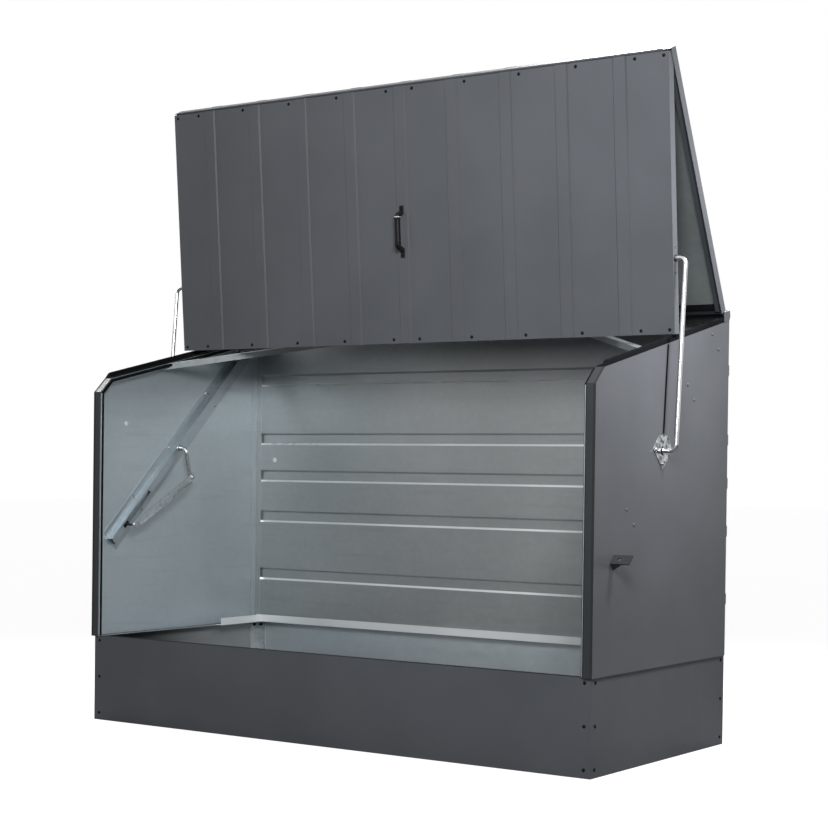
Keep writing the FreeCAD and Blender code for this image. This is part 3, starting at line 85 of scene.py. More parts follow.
class Wire:
    """Output of a shader node; arithmetic on it adds Math nodes."""

    def __init__(self, graph: "Graph", socket: bpy.types.NodeSocket) -> None:
        """Keep the node tree and the socket."""
        self.graph = graph
        self.socket = socket

    def _math(self, operation: str, first: "Wire | float", second: "Wire | float") -> "Wire":
        """Add one Math node."""
        return self.graph.node("ShaderNodeMath", {"operation": operation}, {0: first, 1: second})

    def __add__(self, other: "Wire | float") -> "Wire":
        """Sum."""
        return self._math("ADD", self, other)

    def __radd__(self, other: float) -> "Wire":
        """Sum with a number on the left."""
        return self._math("ADD", other, self)

    def __sub__(self, other: "Wire | float") -> "Wire":
        """Difference."""
        return self._math("SUBTRACT", self, other)

    def __rsub__(self, other: float) -> "Wire":
        """Difference from a number."""
        return self._math("SUBTRACT", other, self)

    def __mul__(self, other: "Wire | float") -> "Wire":
        """Product."""
        return self._math("MULTIPLY", self, other)

    def __rmul__(self, other: float) -> "Wire":
        """Product with a number on the left."""
        return self._math("MULTIPLY", other, self)

    def __gt__(self, other: "Wire | float") -> "Wire":
        """One where this is greater, else zero."""
        return self._math("GREATER_THAN", self, other)

    def __lt__(self, other: "Wire | float") -> "Wire":
        """One where this is less, else zero."""
        return self._math("LESS_THAN", self, other)

    def either(self, other: "Wire | float") -> "Wire":
        """The greater of the two."""
        return self._math("MAXIMUM", self, other)

    def between(self, low: float, high: float) -> "Wire":
        """Stretch a range to 0 to 1, with its ends rounded.

        Args:
            low: Value that becomes 0.
            high: Value that becomes 1.

        Returns:
            The stretched value.
        """
        settings = {"interpolation_type": "SMOOTHSTEP"}
        return self.graph.node("ShaderNodeMapRange", settings,
                               {"Value": self, "From Min": low, "From Max": high})


class Graph:
    """Node tree that is built up node by node."""

    def __init__(self, tree: bpy.types.NodeTree) -> None:
        """Keep the tree and empty it."""
        self.tree = tree
        self.tree.nodes.clear()

    def feed(self, socket: bpy.types.NodeSocket, value: Value) -> None:
        """Link a wire to a socket, or set the socket's own value.

        Args:
            socket: Socket that gets the value.
            value: Wire, number, vector or colour.
        """
        if isinstance(value, Wire):
            self.tree.links.new(value.socket, socket)
        elif socket.type == "RGBA":
            socket.default_value = (*value, 1.0)
        else:
            socket.default_value = value

    def node(self, kind: str, settings: dict[str, str] | None = None,
             inputs: dict[str | int, Value] | None = None, output: str | int = 0) -> Wire:
        """Add a node.

        Args:
            kind: Type of the node.
            settings: Properties of the node, set first.
            inputs: Value or wire of each socket, by name or number.
            output: Socket that is returned.

        Returns:
            The chosen output.
        """
        made = self.tree.nodes.new(kind)
        for key, setting in (settings or {}).items():
            setattr(made, key, setting)
        for key, value in (inputs or {}).items():
            self.feed(made.inputs[key], value)
        return Wire(self, made.outputs[output])

    def place(self) -> Wire:
        """Position in the object's own coordinates."""
        return self.node("ShaderNodeTexCoord", output="Object")

    def facing(self) -> Wire:
        """Surface normal in the object's own coordinates."""
        return self.node("ShaderNodeTexCoord", output="Normal")

    def part(self, vector: Wire, axis: Axis) -> Wire:
        """One component of a vector."""
        return self.node("ShaderNodeSeparateXYZ", inputs={0: vector}, output=axis.value)

    def stretched(self, scale: Triple) -> Wire:
        """Position in the object's own coordinates, times a factor along each axis."""
        return self.node("ShaderNodeMapping", inputs={"Vector": self.place(), "Scale": scale})

    def noise(self, where: Wire, scale: float, detail: float = 2.0) -> Wire:
        """Noise from 0 to 1."""
        return self.node("ShaderNodeTexNoise", inputs={
            "Vector": where, "Scale": scale, "Detail": detail}, output="Fac")

    def blend(self, factor: Value, first: Value, second: Value) -> Wire:
        """Mix of two colours."""
        return self.node("ShaderNodeMix", {"data_type": "RGBA"}, {0: factor, 6: first, 7: second}, 2)

    def blend_value(self, factor: Value, first: Value, second: Value) -> Wire:
        """Mix of two numbers."""
        return self.node("ShaderNodeMix", {"data_type": "FLOAT"}, {0: factor, 2: first, 3: second}, 0)


class Surface(Graph):
    """Node tree of one material, with its shader at the end."""

    def __init__(self, name: str) -> None:
        """Make the material.

        Args:
            name: Name of the material.
        """
        self.material = bpy.data.materials.new(name)
        self.material.use_nodes = True
        super().__init__(self.material.node_tree)
        self.shader = self.tree.nodes.new("ShaderNodeBsdfPrincipled")
        output = self.tree.nodes.new("ShaderNodeOutputMaterial")
        self.tree.links.new(self.shader.outputs["BSDF"], output.inputs["Surface"])

    def shade(self, values: dict[str, Value]) -> None:
        """Feed the shader's sockets, given by name."""
        for name, value in values.items():
            self.feed(self.shader.inputs[name], value)


@dataclass
class Layer:
    """What a finish gives to the shader; heights are in millimetres."""

    colour: Value
    roughness: Value
    metallic: Value
    height: Value

    def mixed(self, graph: Graph, mask: Wire, over: "Layer") -> "Layer":
        """This layer with another over it where the mask is one.

        Args:
            graph: Node tree that both belong to.
            mask: Where the other layer shows.
            over: The other layer.

        Returns:
            The mix.
        """
        return Layer(graph.blend(mask, self.colour, over.colour),
                     graph.blend_value(mask, self.roughness, over.roughness),
                     graph.blend_value(mask, self.metallic, over.metallic),
                     graph.blend_value(mask, self.height, over.height))


@dataclass(frozen=True)
class Finish:
    """Plain moulded or coated surface: two close tones, a fine grain and a roughness that varies."""

    dark: Colour
    light: Colour
    roughness: float
    metallic: float = 0.0
    grain_scale: float = 700.0
    grain_height: float = 0.02
    cloud_scale: float = 3.0
    roughness_spread: float = 0.1
    specular: float = 0.5
    speck_share: float = 0.2
    tone_range: tuple[float, float] = (0.3, 0.7)

    def layer(self, graph: Graph) -> Layer:
        """Build the finish's nodes.

        Args:
            graph: Node tree to build in.

        Returns:
            The layer.
        """
        where = graph.place()
        cloud = graph.noise(where, self.cloud_scale, 4.0)
        speck = graph.noise(where, self.grain_scale, 2.0)
        tone = (cloud * (1.0 - self.speck_share) + speck * self.speck_share).between(*self.tone_range)
        smear = graph.noise(where, self.cloud_scale * 6.0, 3.0)
        rough = self.roughness + (smear - 0.5) * self.roughness_spread
        return Layer(graph.blend(tone, self.dark, self.light), rough, self.metallic,
                     speck * self.grain_height)


@dataclass(frozen=True)
class Galvanised(Finish):
    """Zinc coated sheet: a faint spangle of crystals and soft streaks from rolling."""

    crystal_scale: float = 60.0
    crystal_contrast: float = 0.2
    streak: Triple = (3.0, 3.0, 40.0)
    wave_scale: float = 9.0
    wave_height: float = 0.35
    tone_range: tuple[float, float] = (0.2, 0.8)
    streak_range: tuple[float, float] = (0.55, 0.8)
    streak_share: float = 0.35
    streak_tone: float = 0.8
    streak_roughness: float = 0.1

    def layer(self, graph: Graph) -> Layer:
        """Build the finish's nodes.

        Args:
            graph: Node tree to build in.

        Returns:
            The layer.
        """
        where = graph.place()
        crystals = graph.node("ShaderNodeTexVoronoi", {"feature": "F1"},
                              {"Vector": where, "Scale": self.crystal_scale, "Randomness": 1.0}, "Color")
        flake = graph.node("ShaderNodeSeparateColor", inputs={0: crystals}, output=0)
        streaks = graph.noise(graph.stretched(self.streak), 1.0, 4.0)
        cloud = graph.noise(where, self.cloud_scale, 3.0)
        mottle = cloud * (1.0 - self.crystal_contrast) + flake * self.crystal_contrast
        tone = mottle.between(*self.tone_range)
        colour = graph.blend(tone, self.dark, self.light)
        dull = tuple(self.streak_tone * channel for channel in self.dark)
        colour = graph.blend(streaks.between(*self.streak_range) * self.streak_share, colour, dull)
        rough = (self.roughness + (flake - 0.5) * self.roughness_spread
                 + (streaks - 0.5) * self.streak_roughness)
        wave = graph.noise(where, self.wave_scale, 2.0)
        return Layer(colour, rough, self.metallic, wave * self.wave_height)


@dataclass(frozen=True)
class Plated(Finish):
    """Bright plated steel: fine drawing lines along one axis and a few dull patches."""

    lines: Triple = (400.0, 400.0, 12.0)
    patch_range: tuple[float, float] = (0.35, 0.7)
    dull_range: tuple[float, float] = (0.5, 0.8)
    dull_roughness: float = 0.1

    def layer(self, graph: Graph) -> Layer:
        """Build the finish's nodes.

        Args:
            graph: Node tree to build in.

        Returns:
            The layer.
        """
        drawn = graph.noise(graph.stretched(self.lines), 1.0, 2.0)
        patch = graph.noise(graph.place(), self.cloud_scale, 3.0)
        colour = graph.blend(patch.between(*self.patch_range), self.light, self.dark)
        rough = (self.roughness + (drawn - 0.5) * self.roughness_spread
                 + patch.between(*self.dull_range) * self.dull_roughness)
        return Layer(colour, rough, self.metallic, drawn * self.grain_height)


@dataclass(frozen=True)
class Stretch:
    """Range along one axis in which a coat lies; X is measured from the middle to either side."""

    axis: Axis
    low: float
    high: float
    fade: float = 0.0

    def mask(self, graph: Graph) -> Wire:
        """Where the range lies.

        Args:
            graph: Node tree to build in.

        Returns:
            One inside the range, falling to zero over the fade before its upper end.
        """
        where = graph.part(graph.place(), self.axis)
        if self.axis is Axis.X:
            where = graph.node("ShaderNodeMath", {"operation": "ABSOLUTE"}, {0: where})
        inside = (where > self.low) * (where < self.high)
        if self.fade > 0.0:
            inside = inside * (1.0 - where.between(self.high - self.fade, self.high))
        return inside


@dataclass(frozen=True)
class Covered:
    """A finish on the faces that look one way; least is the cosine from which a face counts."""

    finish: Finish
    face: Face
    direction: Triple = UP
    least: float = 0.4
    stretch: Stretch | None = None

    def mask(self, graph: Graph) -> Wire:
        """Where the coat lies.

        Args:
            graph: Node tree to build in.

        Returns:
            One on the covered faces, else zero.
        """
        if self.face is Face.EVERY:
            return self.stretch.mask(graph)
        normal = graph.facing()
        if self.face is Face.DIRECTION:
            along = graph.node("ShaderNodeVectorMath", {"operation": "DOT_PRODUCT"},
                               {0: normal, 1: self.direction}, "Value")
            lit = along > self.least
        else:
            side = graph.node("ShaderNodeMath", {"operation": "SIGN"}, {
                0: graph.part(graph.place(), Axis.X)})
            out = graph.part(normal, Axis.X) * side
            lit = out > self.least if self.face is Face.SIDE else out < -self.least
        return lit if self.stretch is None else lit * self.stretch.mask(graph)


@dataclass(frozen=True)
class Coating:
    """A base finish with other finishes over some of its faces."""

    name: str
    base: Finish
    covers: tuple[Covered, ...] = ()

    def material(self) -> bpy.types.Material:
        """Make the material.

        Returns:
            The finished material.
        """
        graph = Surface(self.name)
        layer = self.base.layer(graph)
        for cover in self.covers:
            layer = layer.mixed(graph, cover.mask(graph), cover.finish.layer(graph))
        bump = graph.node("ShaderNodeBump", inputs={
            "Strength": 1.0, "Distance": MILLIMETRE, "Height": layer.height}, output="Normal")
        graph.shade({"Base Color": layer.colour, "Roughness": layer.roughness, "Metallic": layer.metallic,
                     "Normal": bump, "Specular IOR Level": self.base.specular})
        return graph.material


GREY_COAT = Finish((0.076, 0.083, 0.094), (0.094, 0.101, 0.114), 0.42, specular=0.28)
# Painted shade: dark grey for the ridges' slopes, where the creases are shaded, and for the roof's side rails,
# whose dark paint is deepened as painted shade.
SLATE_AND_CREASE_SHADE = Finish((0.038, 0.042, 0.048), (0.050, 0.055, 0.062), 0.5, specular=0.15)
BLACK_COAT = Finish((0.004, 0.005, 0.006), (0.008, 0.009, 0.010), 0.45, specular=0.06)
LUG_COAT = Finish((0.022, 0.024, 0.027), (0.040, 0.043, 0.047), 0.4, specular=0.25)
# Painted shade: near-black for the plinth's inner faces, which lie in shade.
PAINTED_SHADE_INSIDE = Finish((0.007, 0.009, 0.011), (0.013, 0.015, 0.018), 0.6, specular=0.15)
SLATE_EDGE = Finish((0.013, 0.017, 0.020), (0.020, 0.025, 0.029), 0.45, specular=0.15)
BLACK_SEAL = Finish((0.005, 0.006, 0.007), (0.010, 0.011, 0.013), 0.8, grain_scale=1400.0,
                    grain_height=0.03, specular=0.02)
BLACK_MOULDING = Finish((0.004, 0.004, 0.005), (0.008, 0.008, 0.009), 0.36, grain_scale=1800.0,
                        grain_height=0.02, specular=0.2)
PALE_MOULDING = Finish((0.60, 0.61, 0.60), (0.74, 0.75, 0.74), 0.5, grain_scale=1500.0)
ZINC_SHEET = Galvanised((0.40, 0.455, 0.49), (0.47, 0.525, 0.56), 0.36, 0.8, cloud_scale=1.6,
                        crystal_contrast=0.12, roughness_spread=0.05)
# The next three finishes are one galvanised sheet in lit and shaded tones, as painted light and shade: lightest
# for the walls' inner faces, darker for the back, the door's inner face and the posts, darkest for the roof's
# underside.
LIT_ZINC_WALL = Galvanised((0.49, 0.56, 0.60), (0.57, 0.64, 0.68), 0.38, 0.7, cloud_scale=1.6,
                       crystal_contrast=0.12, roughness_spread=0.05)
SHADED_ZINC_BACK = Galvanised((0.26, 0.28, 0.285), (0.32, 0.335, 0.34), 0.34, 0.55, cloud_scale=2.4,
                       crystal_contrast=0.12, roughness_spread=0.05)
SHADED_ZINC_ROOF = Galvanised((0.185, 0.21, 0.215), (0.235, 0.26, 0.265), 0.34, 0.55, cloud_scale=2.4,
                       crystal_contrast=0.12, roughness_spread=0.05)
# Painted highlight: near-white zinc for the floor rails and the back's upward faces, where they catch the
# light.
ZINC_HIGHLIGHT = Galvanised((0.70, 0.74, 0.76), (0.88, 0.91, 0.92), 0.30, 0.35, cloud_scale=3.0,
                       crystal_contrast=0.0, roughness_spread=0.02, streak=(1.0, 1.0, 1.0), wave_height=0.0)
ZINC_PLATE = Galvanised((0.10, 0.11, 0.12), (0.62, 0.65, 0.67), 0.22, 1.0, cloud_scale=30.0,
                        crystal_contrast=0.7, roughness_spread=0.1, crystal_scale=90.0,
                        streak=(60.0, 60.0, 60.0), wave_scale=60.0, wave_height=0.2)
ZINC_FORMED = Galvanised((0.46, 0.50, 0.52), (0.62, 0.66, 0.68), 0.32, 0.85, cloud_scale=9.0,
                         crystal_contrast=0.25, roughness_spread=0.08, crystal_scale=110.0,
                         streak=(30.0, 30.0, 300.0), wave_scale=60.0, wave_height=0.03)
# Duller zinc for the braces and the bead; its dark tone is painted shade, for the braces' downward faces in the
# shade under the roof.
DULL_SHADED_ZINC = Galvanised((0.26, 0.29, 0.30), (0.34, 0.37, 0.38), 0.5, 0.6, cloud_scale=5.0,
                       crystal_contrast=0.2, roughness_spread=0.08, wave_height=0.05)
BRIGHT_ZINC = Plated((0.42, 0.43, 0.44), (0.62, 0.63, 0.64), 0.26, 1.0, grain_height=0.003,
                     cloud_scale=14.0, roughness_spread=0.1)
PLAIN_STEEL = Plated((0.34, 0.34, 0.35), (0.52, 0.52, 0.53), 0.34, 1.0, grain_height=0.006,
                     cloud_scale=20.0, roughness_spread=0.15, lines=(15.0, 500.0, 500.0))


@dataclass(frozen=True)
class Frame2D:
    """Frame turned about X by degrees, in which the walls' tops, the roof or the door are laid out."""

    y: float
    z: float
    turn: float

    def spot(self, x: float, along: float, out: float) -> Vector:
        """Point of the frame, in metres.

        Args:
            x: Across the locker.
            along: Along the frame's Y.
            out: Along the frame's Z.

        Returns:
            The point in the locker's frame.
        """
        angle = math.radians(self.turn)
        return Vector((x, self.y + along * math.cos(angle) - out * math.sin(angle),
                       self.z + along * math.sin(angle) + out * math.cos(angle)))

    def axis(self, along: float, out: float) -> Vector:
        """Direction of the frame in the locker's frame."""
        return self.spot(0.0, along, out) - Vector((0.0, self.y, self.z))


SLOPE = Frame2D(0.361, 1.361973, 13.4)
ROOF = Frame2D(0.361, 1.361973, -64.2)
DOOR = Frame2D(-0.044466, 2.10422, 94.5)


def add_object(name: str, mesh: bmesh.types.BMesh, body: str, material: bpy.types.Material) -> bpy.types.Object:
    """Turn a bmesh into a piece that rides on a body.

    Args:
        name: Name of the piece.
        mesh: Its shape, in place.
        body: Body that carries it.
        material: Its finish.

    Returns:
        The piece.
    """
    bmesh.ops.recalc_face_normals(mesh, faces=mesh.faces)
    data = bpy.data.meshes.new(name)
    mesh.to_mesh(data)
    mesh.free()
    data.shade_smooth()
    data.set_sharp_from_angle(angle=CREASE_ANGLE)
    piece = bpy.data.objects.new(name, data)
    bpy.context.scene.collection.objects.link(piece)
    data.materials.append(material)
    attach(piece, body)
    LOG.info("%s on %s, %d faces", name, body, len(data.polygons))
    return piece


def turned_to(direction: Vector) -> Matrix:
    """Rotation that takes Z to a direction."""
    return direction.to_track_quat("Z", "Y").to_matrix().to_4x4()


@dataclass(frozen=True)
class Head:
    """Domed head of a rivet, a screw or a plug, slightly narrower at its top."""

    radius: float
    height: float
    sides: int = 14
    taper: float = 0.93
    dome_height: float = 0.9
    dome_width: float = 0.6
    near: float = 1e-6

    def add(self, mesh: bmesh.types.BMesh, centre: Vector, out: Vector) -> None:
        """Add the head, standing on a face.

        Args:
            mesh: Mesh to add it to.
            centre: Middle of its foot.
            out: Direction in which it stands.
        """
        where = Matrix.Translation(centre) @ turned_to(out) @ Matrix.Translation((0, 0, self.height / 2))
        made = bmesh.ops.create_cone(mesh, cap_ends=True, segments=self.sides, radius1=self.radius,
                                     radius2=self.radius * self.taper, depth=self.height, matrix=where)
        top = max(vert.co.dot(out) for vert in made["verts"])
        high = {vert for vert in made["verts"] if abs(vert.co.dot(out) - top) < self.near}
        rim = [edge for edge in mesh.edges if edge.verts[0] in high and edge.verts[1] in high]
        offset = min(self.height * self.dome_height, self.radius * self.dome_width)
        bmesh.ops.bevel(mesh, geom=rim, offset=offset, segments=3, profile=0.5, affect="EDGES", material=-1,
                        clamp_overlap=True)


RIVET = Head(0.0045, 0.0018)
FLANGE_RIVET = Head(0.0042, 0.0016)
SCREW = Head(0.0045, 0.0022)
PLUG = Head(0.009, 0.0025, 24)
HINGE_MIDDLES = (-0.714, -0.306, 0.306, 0.714)
RIVET_STEPS = (-0.042, 0.0, 0.042)
RIVET_ROW, LEAF_FACE = 0.0235, 0.002


def add_tube(mesh: bmesh.types.BMesh, path: Sequence[Vector], radius: float, sides: int) -> None:
    """Add a round bar along straight runs, mitred where they meet.

    Args:
        mesh: Mesh to add it to.
        path: Points of its middle line.
        radius: Radius of the bar.
        sides: Faces round it.
    """
    into = (path[1] - path[0]).normalized()
    ring = bmesh.ops.create_circle(mesh, cap_ends=True, segments=sides, radius=radius,
                                   matrix=Matrix.Translation(path[0]) @ turned_to(into))
    face = next(iter(ring["verts"][0].link_faces))
    for index in range(1, len(path)):
        run = (path[index] - path[index - 1]).normalized()
        after = (path[index + 1] - path[index]).normalized() if index + 1 < len(path) else run
        cut = (run + after).normalized()
        made = bmesh.ops.extrude_face_region(mesh, geom=[face])
        if index > 1:
            bmesh.ops.delete(mesh, geom=[face], context="FACES_ONLY")
        moved = [item for item in made["geom"] if isinstance(item, bmesh.types.BMVert)]
        for vert in moved:
            vert.co += run * ((path[index] - vert.co).dot(cut) / run.dot(cut))
        face = next(item for item in made["geom"] if isinstance(item, bmesh.types.BMFace))


def add_strip(mesh: bmesh.types.BMesh, lie: Frame2D, outline: Sequence[tuple[float, float]],
              start: float, end: float) -> None:
    """Add a strip of one section that runs along a turned frame.

    Args:
        mesh: Mesh to add it to.
        lie: The frame.
        outline: Section as pairs across the locker and out of the frame.
        start: Where it begins along the frame.
        end: Where it ends.
    """
    face = mesh.faces.new([mesh.verts.new(lie.spot(x, start, out)) for x, out in outline])
    made = bmesh.ops.extrude_face_region(mesh, geom=[face])
    moved = [item for item in made["geom"] if isinstance(item, bmesh.types.BMVert)]
    bmesh.ops.translate(mesh, verts=moved, vec=lie.axis(end - start, 0.0))


def add_turned(mesh: bmesh.types.BMesh, centre: Vector, out: Vector, outline: Sequence[tuple[float, float]],
               sides: int = 28) -> None:
    """Add a ring turned from an outline.

    Args:
        mesh: Mesh to add it to.
        centre: Middle of its foot.
        out: Its axis.
        outline: Closed outline as pairs of radius and height.
        sides: Faces round it.
    """
    where = Matrix.Translation(centre) @ turned_to(out)
    verts = [mesh.verts.new(where @ Vector((radius, 0.0, height))) for radius, height in outline]
    edges = [mesh.edges.new((vert, verts[index - 1])) for index, vert in enumerate(verts)]
    bmesh.ops.spin(mesh, geom=verts + edges, cent=centre, axis=out, angle=2 * math.pi, steps=sides,
                   use_merge=True, use_duplicate=False)


def ring_outline(inner: float, outer: float, height: float, edge: float) -> list[tuple[float, float]]:
    """Outline of a flat ring with eased rims.

    Args:
        inner: Radius of the hole.
        outer: Outer radius.
        height: Height along the axis.
        edge: Width of the eased rim.

    Returns:
        Pairs of radius and height.
    """
    return [(inner, 0.0), (outer, 0.0), (outer, height - edge), (outer - edge, height),
            (inner + edge, height), (inner, height - edge)]


def add_hinge_rivets(mesh: bmesh.types.BMesh, lie: Frame2D, along: float) -> None:
    """Add three rivets on one leaf of each of the roof's hinges.

    Args:
        mesh: Mesh to add them to.
        lie: Frame of the leaves.
        along: Where the row lies along the frame.
    """
    for middle in HINGE_MIDDLES:
        for step in RIVET_STEPS:
            RIVET.add(mesh, lie.spot(middle + step, along, LEAF_FACE), lie.axis(0, 1))


def towards(direction: Iterable[float], finish: Finish, least: float = 0.5,
            stretch: Stretch | None = None) -> Covered:
    """Finish on the faces that look along a direction.

    Args:
        direction: Where the faces look.
        finish: Their finish.
        least: Cosine from which a face counts.
        stretch: Range in which the finish lies.

    Returns:
        The cover.
    """
    return Covered(finish, Face.DIRECTION, tuple(direction), least, stretch)


RIDGE_RISE, RIDGE_LEAST = 0.6, 0.86


def ridged_sheet(name: str, lie: Frame2D, inside: Finish, others: tuple[Covered, ...] = ()) -> Coating:
    """Coating of a sheet with ridges, grey on its outer face, its sides and its lower edge.

    Args:
        name: Name of the material.
        lie: Frame of the sheet.
        inside: Finish of its inner face.
        others: Covers that lie over the rest.

    Returns:
        The coating, in which the ridges' slopes are darker as painted shade.
    """
    out, down = lie.axis(0.0, 1.0), lie.axis(-1.0, 0.0)
    # Painted shade on the ridges' slopes on both sides: darker paint where the creases are shaded.
    slopes = (towards((out * RIDGE_RISE + X_AXIS * side.value).normalized(), SLATE_AND_CREASE_SHADE, RIDGE_LEAST)
              for side in Side)
    return Coating(name, inside, (
        towards(out, GREY_COAT, 0.15), *slopes, Covered(GREY_COAT, Face.SIDE, least=0.95),
        towards(down, GREY_COAT, 0.7), *others))


HINGE_END = Stretch(Axis.Z, 1.0, 1.385)
WALL_CORNER = Stretch(Axis.X, 0.9635, 1.0)
OUTSIDE_WALLS = Stretch(Axis.X, 0.9715, 2.0)
PLINTH_SHADE = Stretch(Axis.Y, -1.0, 0.35, 0.6)
COATINGS = {
    "grey": Coating("grey_coat", GREY_COAT),
    # The plinth's inner faces carry painted shade: near-black inside the front sheet and in the front part of
    # the sides, and the zinc tones for light and shade on the rest.
    "plinth_front": Coating("plinth_front_sheet", GREY_COAT, (
        towards(REAR, PAINTED_SHADE_INSIDE), towards(UP, BLACK_SEAL, 0.7))),
    "plinth_back": Coating("plinth_back_sheet", GREY_COAT, (towards(FRONT, LIT_ZINC_WALL),)),
    "plinth_side": Coating("plinth_side_sheet", GREY_COAT, (
        Covered(SHADED_ZINC_BACK, Face.INWARD_SIDE), Covered(PAINTED_SHADE_INSIDE, Face.INWARD_SIDE, stretch=PLINTH_SHADE))),
    "wall": Coating("wall_sheet", LIT_ZINC_WALL, (
        Covered(GREY_COAT, Face.SIDE), towards(FRONT, SLATE_EDGE), towards(UP, SLATE_EDGE, 0.6),
        towards(FRONT, BLACK_SEAL, stretch=WALL_CORNER))),
    # Painted highlight: the back's upward-facing faces, the ribs' lower slopes, are near-white zinc.
    "back": Coating("back_sheet", SHADED_ZINC_BACK, (
        towards(UP, ZINC_HIGHLIGHT, 0.3), towards(REAR, GREY_COAT, 0.3), towards(UP, GREY_COAT, 0.93))),
    "roof": ridged_sheet("roof_sheet", ROOF, SHADED_ZINC_ROOF, (
        # Painted shade: black on the roof's faces near the hinge end that look down and inward, for the shade
        # behind the hinges.
        towards(ROOF.axis(-1.0, 0.0), BLACK_SEAL, 0.7, HINGE_END),
        towards(ROOF.axis(0.0, -1.0), BLACK_SEAL, 0.7, HINGE_END))),
    "door": ridged_sheet("door_sheet", DOOR, SHADED_ZINC_BACK),
    # Black on the top rail's front and upper faces: dark paint, with painted shade for the shade under the
    # roof's hinges.
    "rear_rail": Coating("rear_rail_sheet", GREY_COAT, (
        towards(FRONT, BLACK_SEAL), towards(UP, BLACK_SEAL, 0.7))),
    "black": Coating("black_coat", BLACK_COAT),
    "seal": Coating("black_seal", BLACK_SEAL),
    "moulding": Coating("black_moulding", BLACK_MOULDING),
    "pale": Coating("pale_moulding", PALE_MOULDING),
    "formed": Coating("zinc_formed", ZINC_FORMED),
    "sheet": Coating("zinc_sheet", ZINC_SHEET),
    "dull": Coating("dull_shaded_zinc", DULL_SHADED_ZINC),
    # Painted light and shade: the posts take the back's darker zinc, with the walls' lighter zinc on the faces
    # that look towards the middle.
    "post": Coating("post_sheet", SHADED_ZINC_BACK, (Covered(LIT_ZINC_WALL, Face.INWARD_SIDE),)),
    # The floor rails' near-white zinc is a painted highlight.
    "rail": Coating("zinc_rail_highlight", ZINC_HIGHLIGHT),
    "lug": Coating("lug_coat", LUG_COAT),
    "slate": Coating("slate_and_shade_coat", SLATE_AND_CREASE_SHADE),
    "plate": Coating("zinc_plate", ZINC_PLATE),
    "bolts": Coating("through_bolts", BRIGHT_ZINC, (Covered(GREY_COAT, Face.EVERY, stretch=OUTSIDE_WALLS),)),
    "bright": Coating("bright_zinc", BRIGHT_ZINC),
    "steel": Coating("plain_steel", PLAIN_STEEL),
}


@dataclass
class Palette:
    """Materials of the locker, made once each."""

    grey: bpy.types.Material
    plinth_front: bpy.types.Material
    plinth_back: bpy.types.Material
    plinth_side: bpy.types.Material
    wall: bpy.types.Material
    back: bpy.types.Material
    roof: bpy.types.Material
    door: bpy.types.Material
    rear_rail: bpy.types.Material
    black: bpy.types.Material
    seal: bpy.types.Material
    moulding: bpy.types.Material
    pale: bpy.types.Material
    formed: bpy.types.Material
    sheet: bpy.types.Material
    dull: bpy.types.Material
    post: bpy.types.Material
    rail: bpy.types.Material
    lug: bpy.types.Material
    slate: bpy.types.Material
    plate: bpy.types.Material
    bolts: bpy.types.Material
    bright: bpy.types.Material
    steel: bpy.types.Material

    @classmethod
    def mix(cls) -> "Palette":
        """Make every material.

        Returns:
            The palette.
        """
        return cls(**{field: coating.material() for field, coating in COATINGS.items()})


def dress(material: bpy.types.Material, names: Iterable[str]) -> None:
    """Give nodes of the frame a material.

    Args:
        material: The finish.
        names: Nodes that get it.
    """
    for name in names:
        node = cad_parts[name]
        for slot in node.material_slots:
            slot.material = material
        LOG.info("%s dressed in %s", name, material.name)


def both(name: str) -> tuple[str, ...]:
    """Left and right node of a pair."""
    return tuple(side.name_of(name) for side in Side)


@dataclass
class Plinth:
    """Folded panels that carry the locker, with their corner angles and bolts."""

    palette: Palette

    def build(self) -> None:
        """Dress the plinth."""
        dress(self.palette.plinth_front, ("plinth_front",))
        dress(self.palette.plinth_back, ("plinth_back",))
        dress(self.palette.plinth_side, both("plinth"))
        dress(self.palette.formed, ("plinth_corner_angles",))
        dress(self.palette.black, ("plinth_bolts",))


